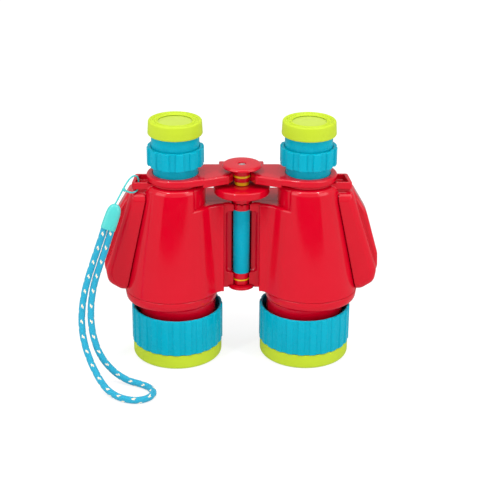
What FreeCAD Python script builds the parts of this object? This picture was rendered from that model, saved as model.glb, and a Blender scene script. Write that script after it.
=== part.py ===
import FreeCAD, Part
import math
import os
import re
import Sketcher
from FreeCAD import Vector

# Toy binoculars, standing upright on the two objective end rings.
# Origin: on the floor, on the hinge axis. +X to the right half, +Y to the rear, +Z up.
# Lengths are in millimetres and angles in degrees.

doc = FreeCAD.newDocument("ToyBinoculars")
sheet = doc.addObject("Spreadsheet::Sheet", "Sizes")

SIZES = [
    # Spacing and gaps
    ("barrel_offset", 36.0, "hinge axis to barrel axis"),
    ("half_gap", 0.3, "each half to the middle plane"),
    ("turn_gap", 0.15, "round a piece that turns or slides"),
    ("face_gap", 0.3, "under or over a piece that turns or slides"),
    ("pin_gap", 0.06, "round the hinge axle in a knuckle"),
    ("stack_gap", 0.1, "between the pieces stacked on the hinge axle"),
    ("fit_gap", 0.05, "between two pieces that are fixed together"),
    ("overrun", 2.0, "how far a cutting shape reaches past what it cuts"),
    # End ring, on which the object stands
    ("end_ring_radius", 25.0, ""),
    ("end_ring_height", 8.5, ""),
    ("end_ring_floor", 2.5, ""),
    ("end_ring_opening", 18.5, "radius"),
    ("end_ring_round", 1.6, ""),
    # Objective ring
    ("ring_stand", 4.04, "from the neck to the ring's outer face"),
    ("ring_height", 21.0, ""),
    ("ring_wall", 1.9, ""),
    ("ring_land", 3.2, "height of the foot that turns on the neck"),
    ("ring_round", 0.7, ""),
    ("ring_flute_radius", 2.6, ""),
    ("ring_flute_depth", 0.55, ""),
    ("ring_flute_count", 24, ""),
    ("ring_clearance", 5.0, "ring top to the underside of the band"),
    # Objective mount
    ("neck_radius", 21.5, ""),
    ("neck_wall", 2.0, ""),
    ("neck_bead", 0.9, "how far the bead that holds the ring stands out"),
    ("neck_bead_height", 1.6, ""),
    ("band_height", 5.5, ""),
    ("band_inset", 0.7, "how much smaller the band is at its lower edge"),
    ("spigot_height", 4.0, "how far the mount reaches up into the shells"),
    ("spigot_wall", 1.6, ""),
    # Objective lens
    ("lens_seat_height", 12.0, "height of the shoulder over the floor"),
    ("lens_seat_width", 1.6, ""),
    ("lens_seat_thickness", 1.5, ""),
    ("lens_thickness", 4.2, ""),
    ("lens_bulge", 1.2, ""),
    ("retainer_height", 2.0, ""),
    ("retainer_width", 2.0, ""),
    # Body shells
    ("body_height", 62.7, ""),
    ("body_wall", 2.0, ""),
    ("body_top_radius", 16.5, ""),
    ("body_foot_length", 26.0, "half the width of the foot"),
    ("body_foot_depth", 24.5, "half the depth of the foot"),
    ("body_foot_shift", 3.0, "foot centre outward of the barrel axis"),
    ("body_top_round", 2.0, ""),
    # Web between barrel and hinge
    ("shelf_clearance", 5.4, "finger shelf under the focus wheel"),
    ("web_foot", 1.0, "web's lower face over the shells' lower edge"),
    ("channel_radius", 10.4, "along the hinge sleeve"),
    ("channel_half_width", 9.8, ""),
    ("channel_front", 3.5, "front face of the channel's ends from the middle plane"),
    ("web_front_foot", 9.0, "channel edge in front of the hinge, at the foot"),
    ("web_front_top", 4.75, "channel edge in front of the hinge, at the shelf"),
    ("web_level_foot", 1.0, "how far the web's front runs level from the channel, at the foot"),
    ("web_level_top", 4.5, "the same at the shelf"),
    ("web_join_angle", 48.0, "where the web's front meets the barrel, from the barrel's inner side"),
    ("web_join_depth", 0.3, "how deep that meeting lies in the barrel"),
    ("web_rear_foot", 20.0, ""),
    ("web_rear_top", 19.5, ""),
    ("web_rear_flat", 16.0, "web's rear is flat to here from the hinge"),
    ("web_rear_angle", 60.0, "and then turns to the barrel by this much"),
    # Side wings
    ("wing_front", 9.5, "front face of the front wing from the middle plane"),
    ("wing_step", 3.0, "where the front wing ends and the main wing starts"),
    ("wing_rear", 9.5, "rear face of the main wing from the middle plane"),
    ("wing_round", 2.2, "outer edges of the wings"),
    ("wing_overlap", 1.0, ""),
    # Strap lug
    ("lug_thickness", 3.9, ""),
    ("lug_drop", 2.1, "lug's lower face under the top of the shells"),
    ("lug_reach", 60.0, "outer front corner from the hinge"),
    ("lug_half_depth", 7.3, ""),
    ("lug_slot_length", 5.9, ""),
    ("lug_slot_depth", 11.6, ""),
    ("lug_bar", 1.7, "width of the outer bar"),
    ("lug_corner_bar", 2.2, "width of the outer bar at its front corner"),
    ("lug_root", 1.2, "how deep the lug starts in the barrel"),
    # Bridge arms
    ("collar_clearance", 2.0, "shadow gap under the arm"),
    ("arm_thickness", 3.5, ""),
    ("skirt_drop", 1.6, "how much lower the arm's thick part reaches"),
    ("collar_radius", 15.8, ""),
    ("skirt_reach", 21.0, "thick part ends this far from the hinge"),
    ("arm_elbow_depth", 12.4, "front of the arm where the thick part ends"),
    ("arm_join_angle", 72.3, "where the arm's front meets the collar, from its inner side"),
    ("notch_flat", 1.15, "width of the arm's front face beside the notch"),
    ("arm_rear", 12.3, ""),
    ("arm_round", 1.2, ""),
    ("block_half_width", 12.3, ""),
    ("block_rear", 17.0, ""),
    ("notch_front_width", 7.2, "half the front notch, at the front"),
    ("notch_front_depth", 6.9, ""),
    ("notch_back_width", 4.6, "half the front notch, at the knuckles"),
    ("notch_back_depth", 1.2, ""),
    ("boss_radius", 14.0, "arm's foot that stands on the shells"),
    # Eyepiece
    ("base_radius", 12.26, ""),
    ("base_rise", 4.7, "base's shoulder over the arm"),
    ("base_stem_radius", 11.2, ""),
    ("base_stem_height", 11.3, ""),
    ("base_bore", 9.6, "radius"),
    ("base_flange_radius", 14.0, ""),
    ("base_flange_height", 1.8, ""),
    ("eye_ring_radius", 15.5, ""),
    ("eye_ring_height", 10.1, ""),
    ("eye_ring_floor", 1.5, ""),
    ("eye_ring_round", 0.6, ""),
    ("eye_ring_flute_radius", 3.2, ""),
    ("eye_ring_flute_depth", 0.75, ""),
    ("eye_ring_flute_count", 12, ""),
    ("eye_tube_radius", 13.0, ""),
    ("eye_tube_show", 6.4, "tube between eyepiece ring and eyecup"),
    ("eye_tube_start", 2.6, "tube's lower end over the base's shoulder"),
    ("cup_sleeve_gap", 1.5, "cup's sleeve over the base's stem when the eyepiece is in"),
    ("eye_lens_radius", 9.7, ""),
    ("eye_lens_thickness", 2.6, ""),
    ("eye_lens_bulge", 0.8, ""),
    ("eye_lens_cover", 0.45, "cup's face over the lens"),
    ("cup_radius", 14.9, ""),
    ("cup_height", 8.1, ""),
    ("cup_taper", 0.45, ""),
    ("cup_round", 1.1, ""),
    ("cup_opening", 8.9, "radius"),
    ("cup_cover", 3.2, "cup over the top of the eyepiece tube"),
    ("cup_ridge_radius", 12.3, ""),
    ("cup_ridge_width", 0.8, ""),
    ("cup_ridge_height", 0.5, ""),
    ("cup_inner_ridge_radius", 10.5, ""),
    ("left_extension", 0.4, "left eyepiece is turned out by this much"),
    # Hinge stack
    ("axle_radius", 2.2, ""),
    ("knuckle_radius", 4.5, ""),
    ("cap_radius", 7.55, ""),
    ("cap_thickness", 1.7, ""),
    ("cap_drop", 0.1, "cap's lower face under the shells' lower edge"),
    ("low_knuckle_height", 2.7, "knuckle of the right rear shell"),
    ("low_washer_height", 0.8, ""),
    ("high_knuckle_height", 3.6, "knuckle of the left rear shell"),
    ("washer_radius", 4.65, ""),
    ("sleeve_radius", 4.63, ""),
    ("knuckle_drop", 1.5, "right arm's knuckle under the arm"),
    ("click_radius", 4.85, ""),
    ("click_height", 3.7, ""),
    ("tooth_height", 0.45, ""),
    ("tooth_count", 10, ""),
    ("hub_radius", 5.1, ""),
    ("hub_height", 5.7, ""),
    ("wheel_radius", 15.45, ""),
    ("wheel_height", 4.5, ""),
    ("wheel_round", 1.5, ""),
    ("top_bush_height", 1.9, ""),
    ("right_knuckle_height", 2.3, ""),
    ("top_washer_height", 1.25, ""),
    ("left_knuckle_height", 3.85, ""),
    ("knob_radius", 10.8, ""),
    ("knob_height", 2.3, ""),
    ("knob_round", 1.0, ""),
    ("screw_recess_radius", 2.2, ""),
    ("screw_recess_depth", 1.5, ""),
    ("screw_head_radius", 1.95, ""),
    ("screw_head_height", 0.9, ""),
    ("screw_shank_radius", 1.1, ""),
    ("screw_length", 9.0, "shank under the head"),
    ("screw_slot_width", 0.6, ""),
    ("screw_slot_depth", 0.4, ""),
    ("screw_slot_share", 0.7, "length of the slots as a share of the head"),
    # Screws that hold the rear shell
    ("shell_screw_boss", 2.9, "radius"),
    ("shell_screw_rise", 15.05, "lower screws over the shells' lower edge"),
    ("shell_screw_drop", 7.54, "upper screws under the shelf"),
    ("shell_screw_head_radius", 2.0, ""),
    ("shell_screw_shank_radius", 1.1, ""),
    ("shell_screw_head_height", 1.2, ""),
    ("shell_screw_sink", 2.0, "head under the rear face"),
    ("shell_screw_grip", 4.0, "shank in the front shell"),
    # Wrist strap
    ("string_radius", 0.45, ""),
    ("knot_radius", 1.15, ""),
    ("strap_radius", 1.9, ""),
    ("ferrule_height", 14.5, ""),
    ("ferrule_grip", 1.0, "how far the cord reaches into the ferrule"),
    ("ferrule_half_width", 4.1, ""),
    ("ferrule_half_depth", 2.5, ""),
]

for row, (alias, value, note) in enumerate(SIZES, start=1):
    sheet.set("A%d" % row, alias)
    sheet.set("B%d" % row, str(value))
    sheet.set("C%d" % row, note)
    sheet.setAlias("B%d" % row, alias)
doc.recompute()

NAMES = set(alias for alias, value, note in SIZES)


def cells(text):
    """Write an expression of size names as the sheet's own cells."""
    return re.sub(r"[a-z_]+", lambda word: "Sizes." + word.group() if word.group() in NAMES
                  else word.group(), str(text))


def size(text):
    """The number that an expression of size names has now."""
    return float(sheet.evalExpression(cells(text)))


def bind(thing, prop, text):
    thing.setExpression(prop, cells(text))


# Heights over the floor, each written from the pieces under it
RING_BOTTOM = "(end_ring_height + face_gap)"
RING_TOP = "(%s + ring_height)" % RING_BOTTOM
BAND_BOTTOM = "(%s + ring_clearance)" % RING_TOP
SEAM = "(%s + band_height)" % BAND_BOTTOM
BODY_TOP = "(%s + body_height)" % SEAM
ARM_BOTTOM = "(%s + collar_clearance)" % BODY_TOP
ARM_TOP = "(%s + arm_thickness)" % ARM_BOTTOM
SKIRT_BOTTOM = "(%s - skirt_drop)" % ARM_BOTTOM
SHOULDER = "(%s + base_rise)" % ARM_TOP
EYE_RING_BOTTOM = "(%s + face_gap)" % SHOULDER
EYE_RING_TOP = "(%s + eye_ring_height)" % EYE_RING_BOTTOM
CUP_BOTTOM = "(%s + eye_tube_show)" % EYE_RING_TOP
CUP_TOP = "(%s + cup_height)" % CUP_BOTTOM
TUBE_TOP = "(%s - cup_cover)" % CUP_TOP
CAP_BOTTOM = "(%s - cap_drop)" % SEAM
CAP_TOP = "(%s + cap_thickness)" % CAP_BOTTOM
LOW_KNUCKLE = "(%s + stack_gap)" % CAP_TOP
LOW_WASHER = "(%s + low_knuckle_height + stack_gap)" % LOW_KNUCKLE
HIGH_KNUCKLE = "(%s + low_washer_height)" % LOW_WASHER
SLEEVE_BOTTOM = "(%s + high_knuckle_height)" % HIGH_KNUCKLE
RIGHT_KNUCKLE = "(%s - knuckle_drop)" % ARM_BOTTOM
BUSH_BOTTOM = "(%s - top_bush_height - stack_gap)" % RIGHT_KNUCKLE
WHEEL_TOP = "(%s - face_gap)" % BUSH_BOTTOM
WHEEL_BOTTOM = "(%s - wheel_height)" % WHEEL_TOP
HUB_BOTTOM = "(%s - hub_height)" % WHEEL_BOTTOM
CLICK_TOP = "(%s - face_gap)" % HUB_BOTTOM
CLICK_BOTTOM = "(%s - click_height)" % CLICK_TOP
SHELF = "(%s - shelf_clearance)" % WHEEL_BOTTOM
TOP_WASHER = "(%s + right_knuckle_height + stack_gap)" % RIGHT_KNUCKLE
LEFT_KNUCKLE = "(%s + top_washer_height)" % TOP_WASHER
KNOB_BOTTOM = "(%s + left_knuckle_height)" % LEFT_KNUCKLE
KNOB_TOP = "(%s + knob_height)" % KNOB_BOTTOM

SIDES = [("left", -1), ("right", 1)]
kept = []


def keep(thing, label):
    """Note a finished sub-part, which is written under its label."""
    thing.Label = label
    kept.append(thing)
    return thing


def place(thing, across="0", up="0"):
    """Put a sub-part on a vertical axis, at a height."""
    bind(thing, "Placement.Base.x", across)
    bind(thing, "Placement.Base.z", up)


def turned(name, profile, rounds=()):
    """A piece turned about its vertical axis.

    profile: corners of the section as (radius, height) in size names.
    rounds: edges to round, as (radius, height, fillet).
    """
    body = doc.addObject("PartDesign::Body", name)
    plane = [item for item in body.Origin.OriginFeatures if item.Role == "XZ_Plane"][0]
    sketch = body.newObject("Sketcher::SketchObject", name + "_section")
    sketch.AttachmentSupport = [(plane, "")]
    sketch.MapMode = "FlatFace"
    spots = [Vector(size(radius), size(height), 0) for radius, height in profile]
    for start, end in zip(spots, spots[1:] + spots[:1]):
        sketch.addGeometry(Part.LineSegment(start, end), False)
    for index, (radius, height) in enumerate(profile):
        sketch.addConstraint(Sketcher.Constraint("Coincident", index - 1 if index else len(profile) - 1,
                                                 2, index, 1))
    for index, (radius, height) in enumerate(profile):
        for kind, text in (("DistanceX", radius), ("DistanceY", height)):
            if text == "0":
                axis = -2 if kind == "DistanceX" else -1
                sketch.addConstraint(Sketcher.Constraint("PointOnObject", index, 1, axis))
                continue
            number = sketch.addConstraint(Sketcher.Constraint(kind, -1, 1, index, 1, size(text)))
            sketch.setExpression("Constraints[%d]" % number, cells(text))
    turn = body.newObject("PartDesign::Revolution", name + "_turn")
    turn.Profile = sketch
    turn.ReferenceAxis = (sketch, ["V_Axis"])
    turn.Angle = 360
    doc.recompute()
    for number, (radius, height, fillet) in enumerate(rounds):
        wanted = (size(radius), size(height))
        base = body.Tip
        edges = base.Shape.Edges
        rims = [number for number, edge in enumerate(edges) if isinstance(edge.Curve, Part.Circle)
                and abs(edge.Curve.Axis.z) > 0.5]
        best = min(rims, key=lambda i: math.hypot(edges[i].Curve.Radius - wanted[0],
                                                  edges[i].Curve.Center.z - wanted[1]))
        smooth = body.newObject("PartDesign::Fillet", "%s_round_%d" % (name, number))
        smooth.Base = (base, ["Edge%d" % (best + 1)])
        bind(smooth, "Radius", fillet)
        body.Tip = smooth
        doc.recompute()
    return body


def fluted(body, name, radius, height, bottom, flute_radius, flute_depth, count):
    """Cut rounded upright grooves round a turned ring."""
    plane = [item for item in body.Origin.OriginFeatures if item.Role == "XY_Plane"][0]
    sketch = body.newObject("Sketcher::SketchObject", name + "_flute")
    sketch.AttachmentSupport = [(plane, "")]
    sketch.MapMode = "FlatFace"
    bind(sketch, "AttachmentOffset.Base.z", bottom)
    middle = "%s - %s + %s" % (radius, flute_depth, flute_radius)
    sketch.addGeometry(Part.Circle(Vector(size(middle), 0, 0), Vector(0, 0, 1), size(flute_radius)), False)
    sketch.addConstraint(Sketcher.Constraint("PointOnObject", 0, 3, -1))
    across = sketch.addConstraint(Sketcher.Constraint("DistanceX", -1, 1, 0, 3, size(middle)))
    sketch.setExpression("Constraints[%d]" % across, cells(middle))
    round_size = sketch.addConstraint(Sketcher.Constraint("Radius", 0, size(flute_radius)))
    sketch.setExpression("Constraints[%d]" % round_size, cells(flute_radius))
    cut = body.newObject("PartDesign::Pocket", name + "_flute_cut")
    cut.Profile = sketch
    cut.Reversed = True
    bind(cut, "Length", height)
    doc.recompute()
    pattern = body.newObject("PartDesign::PolarPattern", name + "_flutes")
    pattern.Originals = [cut]
    pattern.Axis = (sketch, ["N_Axis"])
    pattern.Angle = 360
    bind(pattern, "Occurrences", count)
    body.Tip = pattern
    doc.recompute()
    return body


def bulged_disc(name, radius, thickness, bulge, bottom):
    """A lens: a disc whose two faces are caps of large spheres."""
    sphere_radius = "((%s) ^ 2 + (%s) ^ 2) / (2 * (%s))" % (radius, bulge, bulge)
    rim = doc.addObject("Part::Cylinder", name + "_rim")
    bind(rim, "Radius", radius)
    bind(rim, "Height", thickness)
    bind(rim, "Placement.Base.z", bottom)
    parts = [rim]
    for side, middle in (("top", "%s + %s - %s"), ("under", "%s - %s + %s")):
        ball = doc.addObject("Part::Sphere", "%s_%s" % (name, side))
        bind(ball, "Radius", sphere_radius)
        edge = "%s + %s" % (bottom, thickness) if side == "top" else bottom
        shift = " - (%s)" if side == "top" else " + (%s)"
        bind(ball, "Placement.Base.z", edge + shift % sphere_radius)
        parts.append(ball)
    disc = doc.addObject("Part::MultiCommon", name)
    disc.Shapes = parts
    return disc


def formed(label, shape):
    """A moulded piece whose form is worked out below from the sheet's sizes."""
    piece = doc.addObject("Part::Feature", label)
    piece.Shape = shape
    return keep(piece, label)


# Upright solids used in the moulded forms

def cylinder(radius, bottom, top, x=0.0, y=0.0):
    return Part.makeCylinder(radius, top - bottom, Vector(x, y, bottom))


def prism(outline, bottom, top):
    """Straight upright prism over a closed outline of (x, y) corners."""
    corners = [Vector(x, y, bottom) for x, y in outline]
    face = Part.Face(Part.makePolygon(corners + corners[:1]))
    return face.extrude(Vector(0, 0, top - bottom))


def oval(x, y, height, length, depth):
    """Ellipse in a level plane, given by its half length in X and half depth in Y."""
    ring = Part.Circle(Vector(0, 0, 0), Vector(0, 0, 1), 1).toShape()
    stretch = FreeCAD.Matrix()
    stretch.scale(length, depth, 1)
    oval_edge = ring.transformGeometry(stretch)
    oval_edge.translate(Vector(x, y, height))
    return Part.Wire(oval_edge)


def skin(sections):
    return Part.makeLoft(sections, True, False)


def barrel_section(height):
    """Half length, half depth and centre of the barrel's oval at a height."""
    share = (height - size(SEAM)) / size("body_height")
    length = size("body_foot_length") + share * size("body_top_radius - body_foot_length")
    depth = size("body_foot_depth") + share * size("body_top_radius - body_foot_depth")
    return length, depth, size("barrel_offset") + (1 - share) * size("body_foot_shift")


def barrel_form(inset, bottom, top):
    """Barrel from its oval foot to its round top, all of it inset by a wall."""
    sections = []
    for height in (bottom, top):
        length, depth, middle = barrel_section(height)
        sections.append(oval(middle, 0, height, length - inset, depth - inset))
    return Part.makeLoft(sections, True, True)


def web_form(inset, bottom, top):
    """Web between the barrel and the hinge; its front and rear lean with the barrel."""
    foot = size(SEAM)
    rise = size(SHELF) - foot
    turn = math.radians(size("web_join_angle"))
    wires = []
    for height in (bottom, top):
        share = (height - foot) / rise
        front = size("web_front_foot") + share * size("web_front_top - web_front_foot") - inset
        rear = size("web_rear_foot") + share * size("web_rear_top - web_rear_foot") - inset
        inner = size("channel_half_width") + inset
        level = size("web_level_foot") + share * size("web_level_top - web_level_foot")
        length, depth, middle = barrel_section(height)
        length -= inset + size("web_join_depth")
        depth -= inset + size("web_join_depth")
        gap = size("half_gap") + inset
        slope = math.radians(size("web_rear_angle"))
        wide = size("web_rear_flat") + inset / math.tan(slope) - inset / math.sin(slope)
        block_front = size("channel_front") - inset
        corners = [(inner, -front), (inner + level, -front),
                   (middle - length * math.cos(turn), -depth * math.sin(turn)),
                   (wide + rear / math.tan(slope), 0), (wide, rear),
                   (gap, rear), (gap, -block_front), (inner, -block_front)]
        points = [Vector(x, y, height) for x, y in corners]
        wires.append(Part.makePolygon(points + points[:1]))
    return Part.makeLoft(wires, True, True)


# Outlines of the two side wings seen from the front: (from the hinge, over the floor, rounding)
FRONT_WING = [(48.0, 97.5, 0), (60.9, 97.5, 2.5), (73.9, 54.5, 8.0), (72.6, 46.8, 6.0), (66.5, 41.8, 6.0),
              (48.0, 41.3, 0)]
MAIN_WING = [(48.0, 98.5, 0), (61.2, 98.5, 2.5), (69.0, 85.0, 20.0), (75.7, 60.5, 8.0), (76.0, 54.0, 8.0),
             (73.0, 46.8, 8.0), (67.0, 41.8, 6.0), (48.0, 41.3, 0)]


def inset_outline(outline, inset):
    """Move each side of a clockwise outline inward by the same distance."""
    moved = []
    for before, corner, after in zip(outline[-1:] + outline[:-1], outline, outline[1:] + outline[:1]):
        lines = []
        for start, end in ((before, corner), (corner, after)):
            along = Vector(end[0] - start[0], end[1] - start[1], 0).normalize()
            inward = Vector(along.y, -along.x, 0)
            lines.append((inward, inward.x * start[0] + inward.y * start[1] + inset))
        (first, first_level), (second, second_level) = lines
        spread = first.x * second.y - first.y * second.x
        moved.append(((first_level * second.y - second_level * first.y) / spread,
                      (first.x * second_level - second.x * first_level) / spread))
    return moved


def wing_form(outline, front, rear, inset):
    """A wing between two upright planes. The outer form is rounded, the hollow inside it is not."""
    corners = inset_outline(outline, inset) if inset else [spot[:2] for spot in outline]
    points = [Vector(x, front + inset, z) for x, z in corners]
    block = Part.Face(Part.makePolygon(points + points[:1])).extrude(Vector(0, rear - front - 2 * inset, 0))
    if inset:
        return block
    for x, z, turn in outline:
        if turn:
            edges = [edge for edge in block.Edges if edge.BoundBox.YLength > 1
                     and math.hypot(edge.BoundBox.Center.x - x, edge.BoundBox.Center.z - z) < 1e-3]
            block = block.makeFillet(turn, edges)
    inner = min(x for x, z in corners)
    rim = [edge for edge in block.Edges if edge.BoundBox.YLength < 1e-6
           and edge.BoundBox.Center.x > inner + 1e-3]
    return block.makeFillet(size("wing_round"), rim)


def wings(inset):
    step = -size("wing_step")
    return [wing_form(FRONT_WING, -size("wing_front"), step + size("wing_overlap") + 2 * inset, inset),
            wing_form(MAIN_WING, step, size("wing_rear"), inset)]


def rounded_top(solid, radius, height):
    """Round the rim edges of a solid that lie at one height."""
    rims = [edge for edge in solid.Edges
            if abs(edge.BoundBox.ZMin - height) < 1e-4 and abs(edge.BoundBox.ZMax - height) < 1e-4]
    return solid.makeFillet(radius, rims)


def lug_form():
    top = size(BODY_TOP) + size("lug_thickness - lug_drop")
    bottom = size("%s - lug_drop" % BODY_TOP)
    half = size("lug_half_depth")
    reach = size("lug_reach")
    inner = size("barrel_offset + body_top_radius - lug_root")
    plate = prism([(inner, -half), (reach - size("string_radius"), -half), (reach, -half + size("string_radius")),
                   (reach - size("lug_bar"), half), (inner, half)], bottom, top)
    slot_outer = reach - size("lug_corner_bar")
    slot_inner = slot_outer - size("lug_slot_length")
    slot_half = size("0.5 * lug_slot_depth")
    slot = prism([(slot_inner, -slot_half), (slot_outer, -slot_half),
                  (slot_outer - size("lug_bar"), slot_half), (slot_inner, slot_half)],
                 bottom - size("overrun"), top + size("overrun"))
    return plate, slot


def screw_places():
    """Axes of the four shell screws of one half, as (x, z)."""
    web_x = size("0.5 * (channel_half_width + barrel_offset - body_top_radius)") - size("body_wall") / 2
    wing_x = FRONT_WING[-2][0] - size("body_wall")
    high_x = FRONT_WING[1][0] - size("body_wall + shell_screw_boss / 2")
    low = size("%s + shell_screw_rise" % SEAM)
    high = size("%s - shell_screw_drop" % SHELF)
    return [(web_x, low), (web_x, high), (wing_x, low), (high_x, high)]


def cross_cylinder(radius, x, z, start, end):
    return Part.makeCylinder(radius, end - start, Vector(x, start, z), Vector(0, 1, 0))


def rear_depth(outer, x, z):
    """Where a line along Y through (x, z) comes out of the rear of a solid."""
    reach = size("2 * body_foot_depth")
    line = Part.makeLine(Vector(x, 0, z), Vector(x, reach, z))
    inside = line.common(outer)
    return inside.BoundBox.YMax


def half_shells(knuckle_bottom, knuckle_top):
    """Front and rear shell of one half and the screws between them, on the +X side."""
    wall = size("body_wall")
    seam = size(SEAM)
    top = size(BODY_TOP)
    shelf = size(SHELF)
    web_bottom = seam + size("web_foot")
    over = size("overrun")
    lug, slot = lug_form()
    barrel = rounded_top(barrel_form(0, seam, top), size("body_top_round"), top)
    outer = barrel.fuse([web_form(0, web_bottom, shelf)] + wings(0))
    channel = cylinder(size("channel_radius"), size(SLEEVE_BOTTOM), size(CLICK_BOTTOM))
    bore = cylinder(size("hub_radius + face_gap"), seam - over, shelf + over)
    cap_room = cylinder(size("cap_radius + turn_gap"), seam - over, size(LOW_KNUCKLE))
    outer = outer.cut([channel, bore, cap_room])
    hollows = [barrel_form(wall, seam, top - wall)]
    hollows.append(web_form(wall, web_bottom + wall, shelf - wall).cut(
        cylinder(size("channel_radius") + wall, seam - over, shelf + over)))
    hollows += wings(wall)
    mouth = barrel_form(wall, seam - over, seam + over)
    eye_hole = cylinder(size("base_radius + fit_gap"), top - wall - over, top + over, size("barrel_offset"))
    shell = outer
    for hollow in hollows:
        shell = shell.cut(hollow)
    shell = shell.cut([mouth, eye_hole]).fuse(lug).cut(slot)
    boss = size("shell_screw_boss")
    reach = size("2 * body_foot_depth")
    bosses = [cross_cylinder(boss, x, z, -reach, reach).common(outer) for x, z in screw_places()]
    shell = shell.fuse(bosses)
    # Screws with their holes: a head sunk in the rear, a shank that ends in the front shell
    screws = []
    holes = []
    for x, z in screw_places():
        seat = rear_depth(outer, x, z) - size("shell_screw_sink + shell_screw_head_height")
        head_end = seat + size("shell_screw_head_height")
        tip = -size("shell_screw_grip")
        head = cross_cylinder(size("shell_screw_head_radius"), x, z, seat, head_end)
        shank = cross_cylinder(size("shell_screw_shank_radius"), x, z, tip, seat)
        drive = Part.makeBox(size("2 * shell_screw_head_radius"), size("screw_slot_depth"),
                             size("screw_slot_width"),
                             Vector(x - size("shell_screw_head_radius"), head_end - size("screw_slot_depth"),
                                    z - size("screw_slot_width / 2")))
        screws.append(head.fuse(shank).cut(drive).removeSplitter())
        holes.append(cross_cylinder(size("shell_screw_head_radius + fit_gap"), x, z, seat, reach))
        holes.append(cross_cylinder(size("shell_screw_shank_radius"), x, z, tip, seat))
    shell = shell.cut(holes)
    front_box = Part.makeBox(2 * reach, reach, 2 * top, Vector(0, -reach, 0))
    rear_box = Part.makeBox(2 * reach, reach, 2 * top, Vector(0, 0, 0))
    front = shell.common(front_box)
    rear = shell.common(rear_box)
    # Lower hinge knuckle, carried by the rear shell on a bracket that fills the rear of the bore
    knuckle = cylinder(size("knuckle_radius"), knuckle_bottom, knuckle_top)
    bracket_bottom = size(LOW_KNUCKLE)
    bracket = cylinder(size("hub_radius + body_wall"), bracket_bottom, knuckle_top).common(
        Part.makeBox(reach, reach, top, Vector(size("half_gap"), 0, 0)))
    room = cylinder(size("knuckle_radius + face_gap"), bracket_bottom - over, knuckle_bottom)
    pin_hole = cylinder(size("axle_radius + pin_gap"), knuckle_bottom - over, knuckle_top + over)
    rear = rear.fuse(bracket.cut(room)).fuse(knuckle).cut(pin_hole)
    return front, rear, Part.makeCompound(screws)


def arm_form(upper):
    """Bridge arm on the +X side; upper says whether its knuckle is the top one."""
    middle = size("barrel_offset")
    low = size(ARM_BOTTOM)
    high = size(ARM_TOP)
    skirt = size(SKIRT_BOTTOM)
    collar = size("collar_radius")
    gap = size("half_gap")
    over = size("overrun")
    front = size("notch_front_depth")
    turn = math.radians(size("arm_join_angle"))
    elbow = (size("skirt_reach"), -size("arm_elbow_depth"))
    start = (middle - collar * math.cos(turn), -collar * math.sin(turn))
    rear = size("arm_rear")
    plate = [start, elbow, (size("notch_front_width + notch_flat"), -front),
             (size("notch_front_width"), -front),
             (size("notch_back_width"), -size("notch_back_depth")), (gap, 0), (gap, rear),
             (middle, rear), (middle, 0)]
    thick = [elbow, (size("notch_front_width + notch_flat"), -front),
             (size("notch_front_width"), -front),
             (size("notch_back_width"), -size("notch_back_depth")), (gap, 0), (gap, rear),
             (size("skirt_reach"), rear)]
    block = [(gap, 0), (size("block_half_width"), 0), (size("block_half_width"), size("block_rear")),
             (gap, size("block_rear"))]
    disc = cylinder(collar, low, high, middle)
    arm = disc.fuse([prism(plate, low, high), prism(thick, skirt, low), prism(block, skirt, high)])
    arm = arm.removeSplitter()
    arm = rounded_top(arm, size("arm_round / 2"), high)
    foot = cylinder(size("boss_radius"), size(BODY_TOP), low, middle)
    eye_hole = cylinder(size("base_radius + fit_gap"), skirt - over, high + over, middle)
    arm = arm.fuse(foot).cut(eye_hole)
    clearance = size("knuckle_radius + face_gap")
    if upper:
        bottom, top = size(LEFT_KNUCKLE), size(KNOB_BOTTOM)
        room = cylinder(clearance, skirt - over, bottom)
    else:
        bottom, top = size(RIGHT_KNUCKLE), size(TOP_WASHER) - size("stack_gap")
        room = cylinder(clearance, top, high + over).fuse(cylinder(clearance, skirt - over, bottom))
    knuckle = cylinder(size("knuckle_radius"), bottom, top)
    pin_hole = cylinder(size("axle_radius + pin_gap"), skirt - over, size(KNOB_BOTTOM) + over)
    return arm.cut(room).fuse(knuckle).cut(pin_hole).removeSplitter()


def mount_form():
    """Band under the shells with the neck for the objective ring, on the +X side."""
    middle = size("barrel_offset")
    seam = size(SEAM)
    bottom = size(BAND_BOTTOM)
    neck_bottom = size("end_ring_floor + fit_gap")
    neck = size("neck_radius")
    bore = size("neck_radius - neck_wall")
    over = size("overrun")
    shift = size("body_foot_shift")
    length = size("body_foot_length")
    depth = size("body_foot_depth")
    inset = size("band_inset")
    band = Part.makeLoft([oval(middle + shift, 0, bottom, length - inset, depth - inset),
                          oval(middle + shift, 0, seam - size("fit_gap"), length, depth)], True, True)
    spigot = barrel_form(size("body_wall + fit_gap"), seam - size("fit_gap"), seam + size("spigot_height"))
    spigot_bore = barrel_form(size("body_wall + fit_gap + spigot_wall"), bottom, seam + size("spigot_height") + over)
    stem = cylinder(neck, neck_bottom, bottom, middle)
    bead_bottom = size("%s + ring_land + face_gap" % RING_BOTTOM)
    bead = cylinder(neck + size("neck_bead"), bead_bottom, bead_bottom + size("neck_bead_height"), middle)
    light = cylinder(bore, neck_bottom - over, seam + size("spigot_height") + over, middle)
    seat = cylinder(bore, size("lens_seat_height"), size("lens_seat_height + lens_seat_thickness"), middle)
    seat = seat.cut(cylinder(bore - size("lens_seat_width"), 0, seam, middle))
    mount = band.fuse([stem, bead, spigot.cut(spigot_bore)]).cut(light)
    return mount.fuse(seat).removeSplitter()


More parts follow.
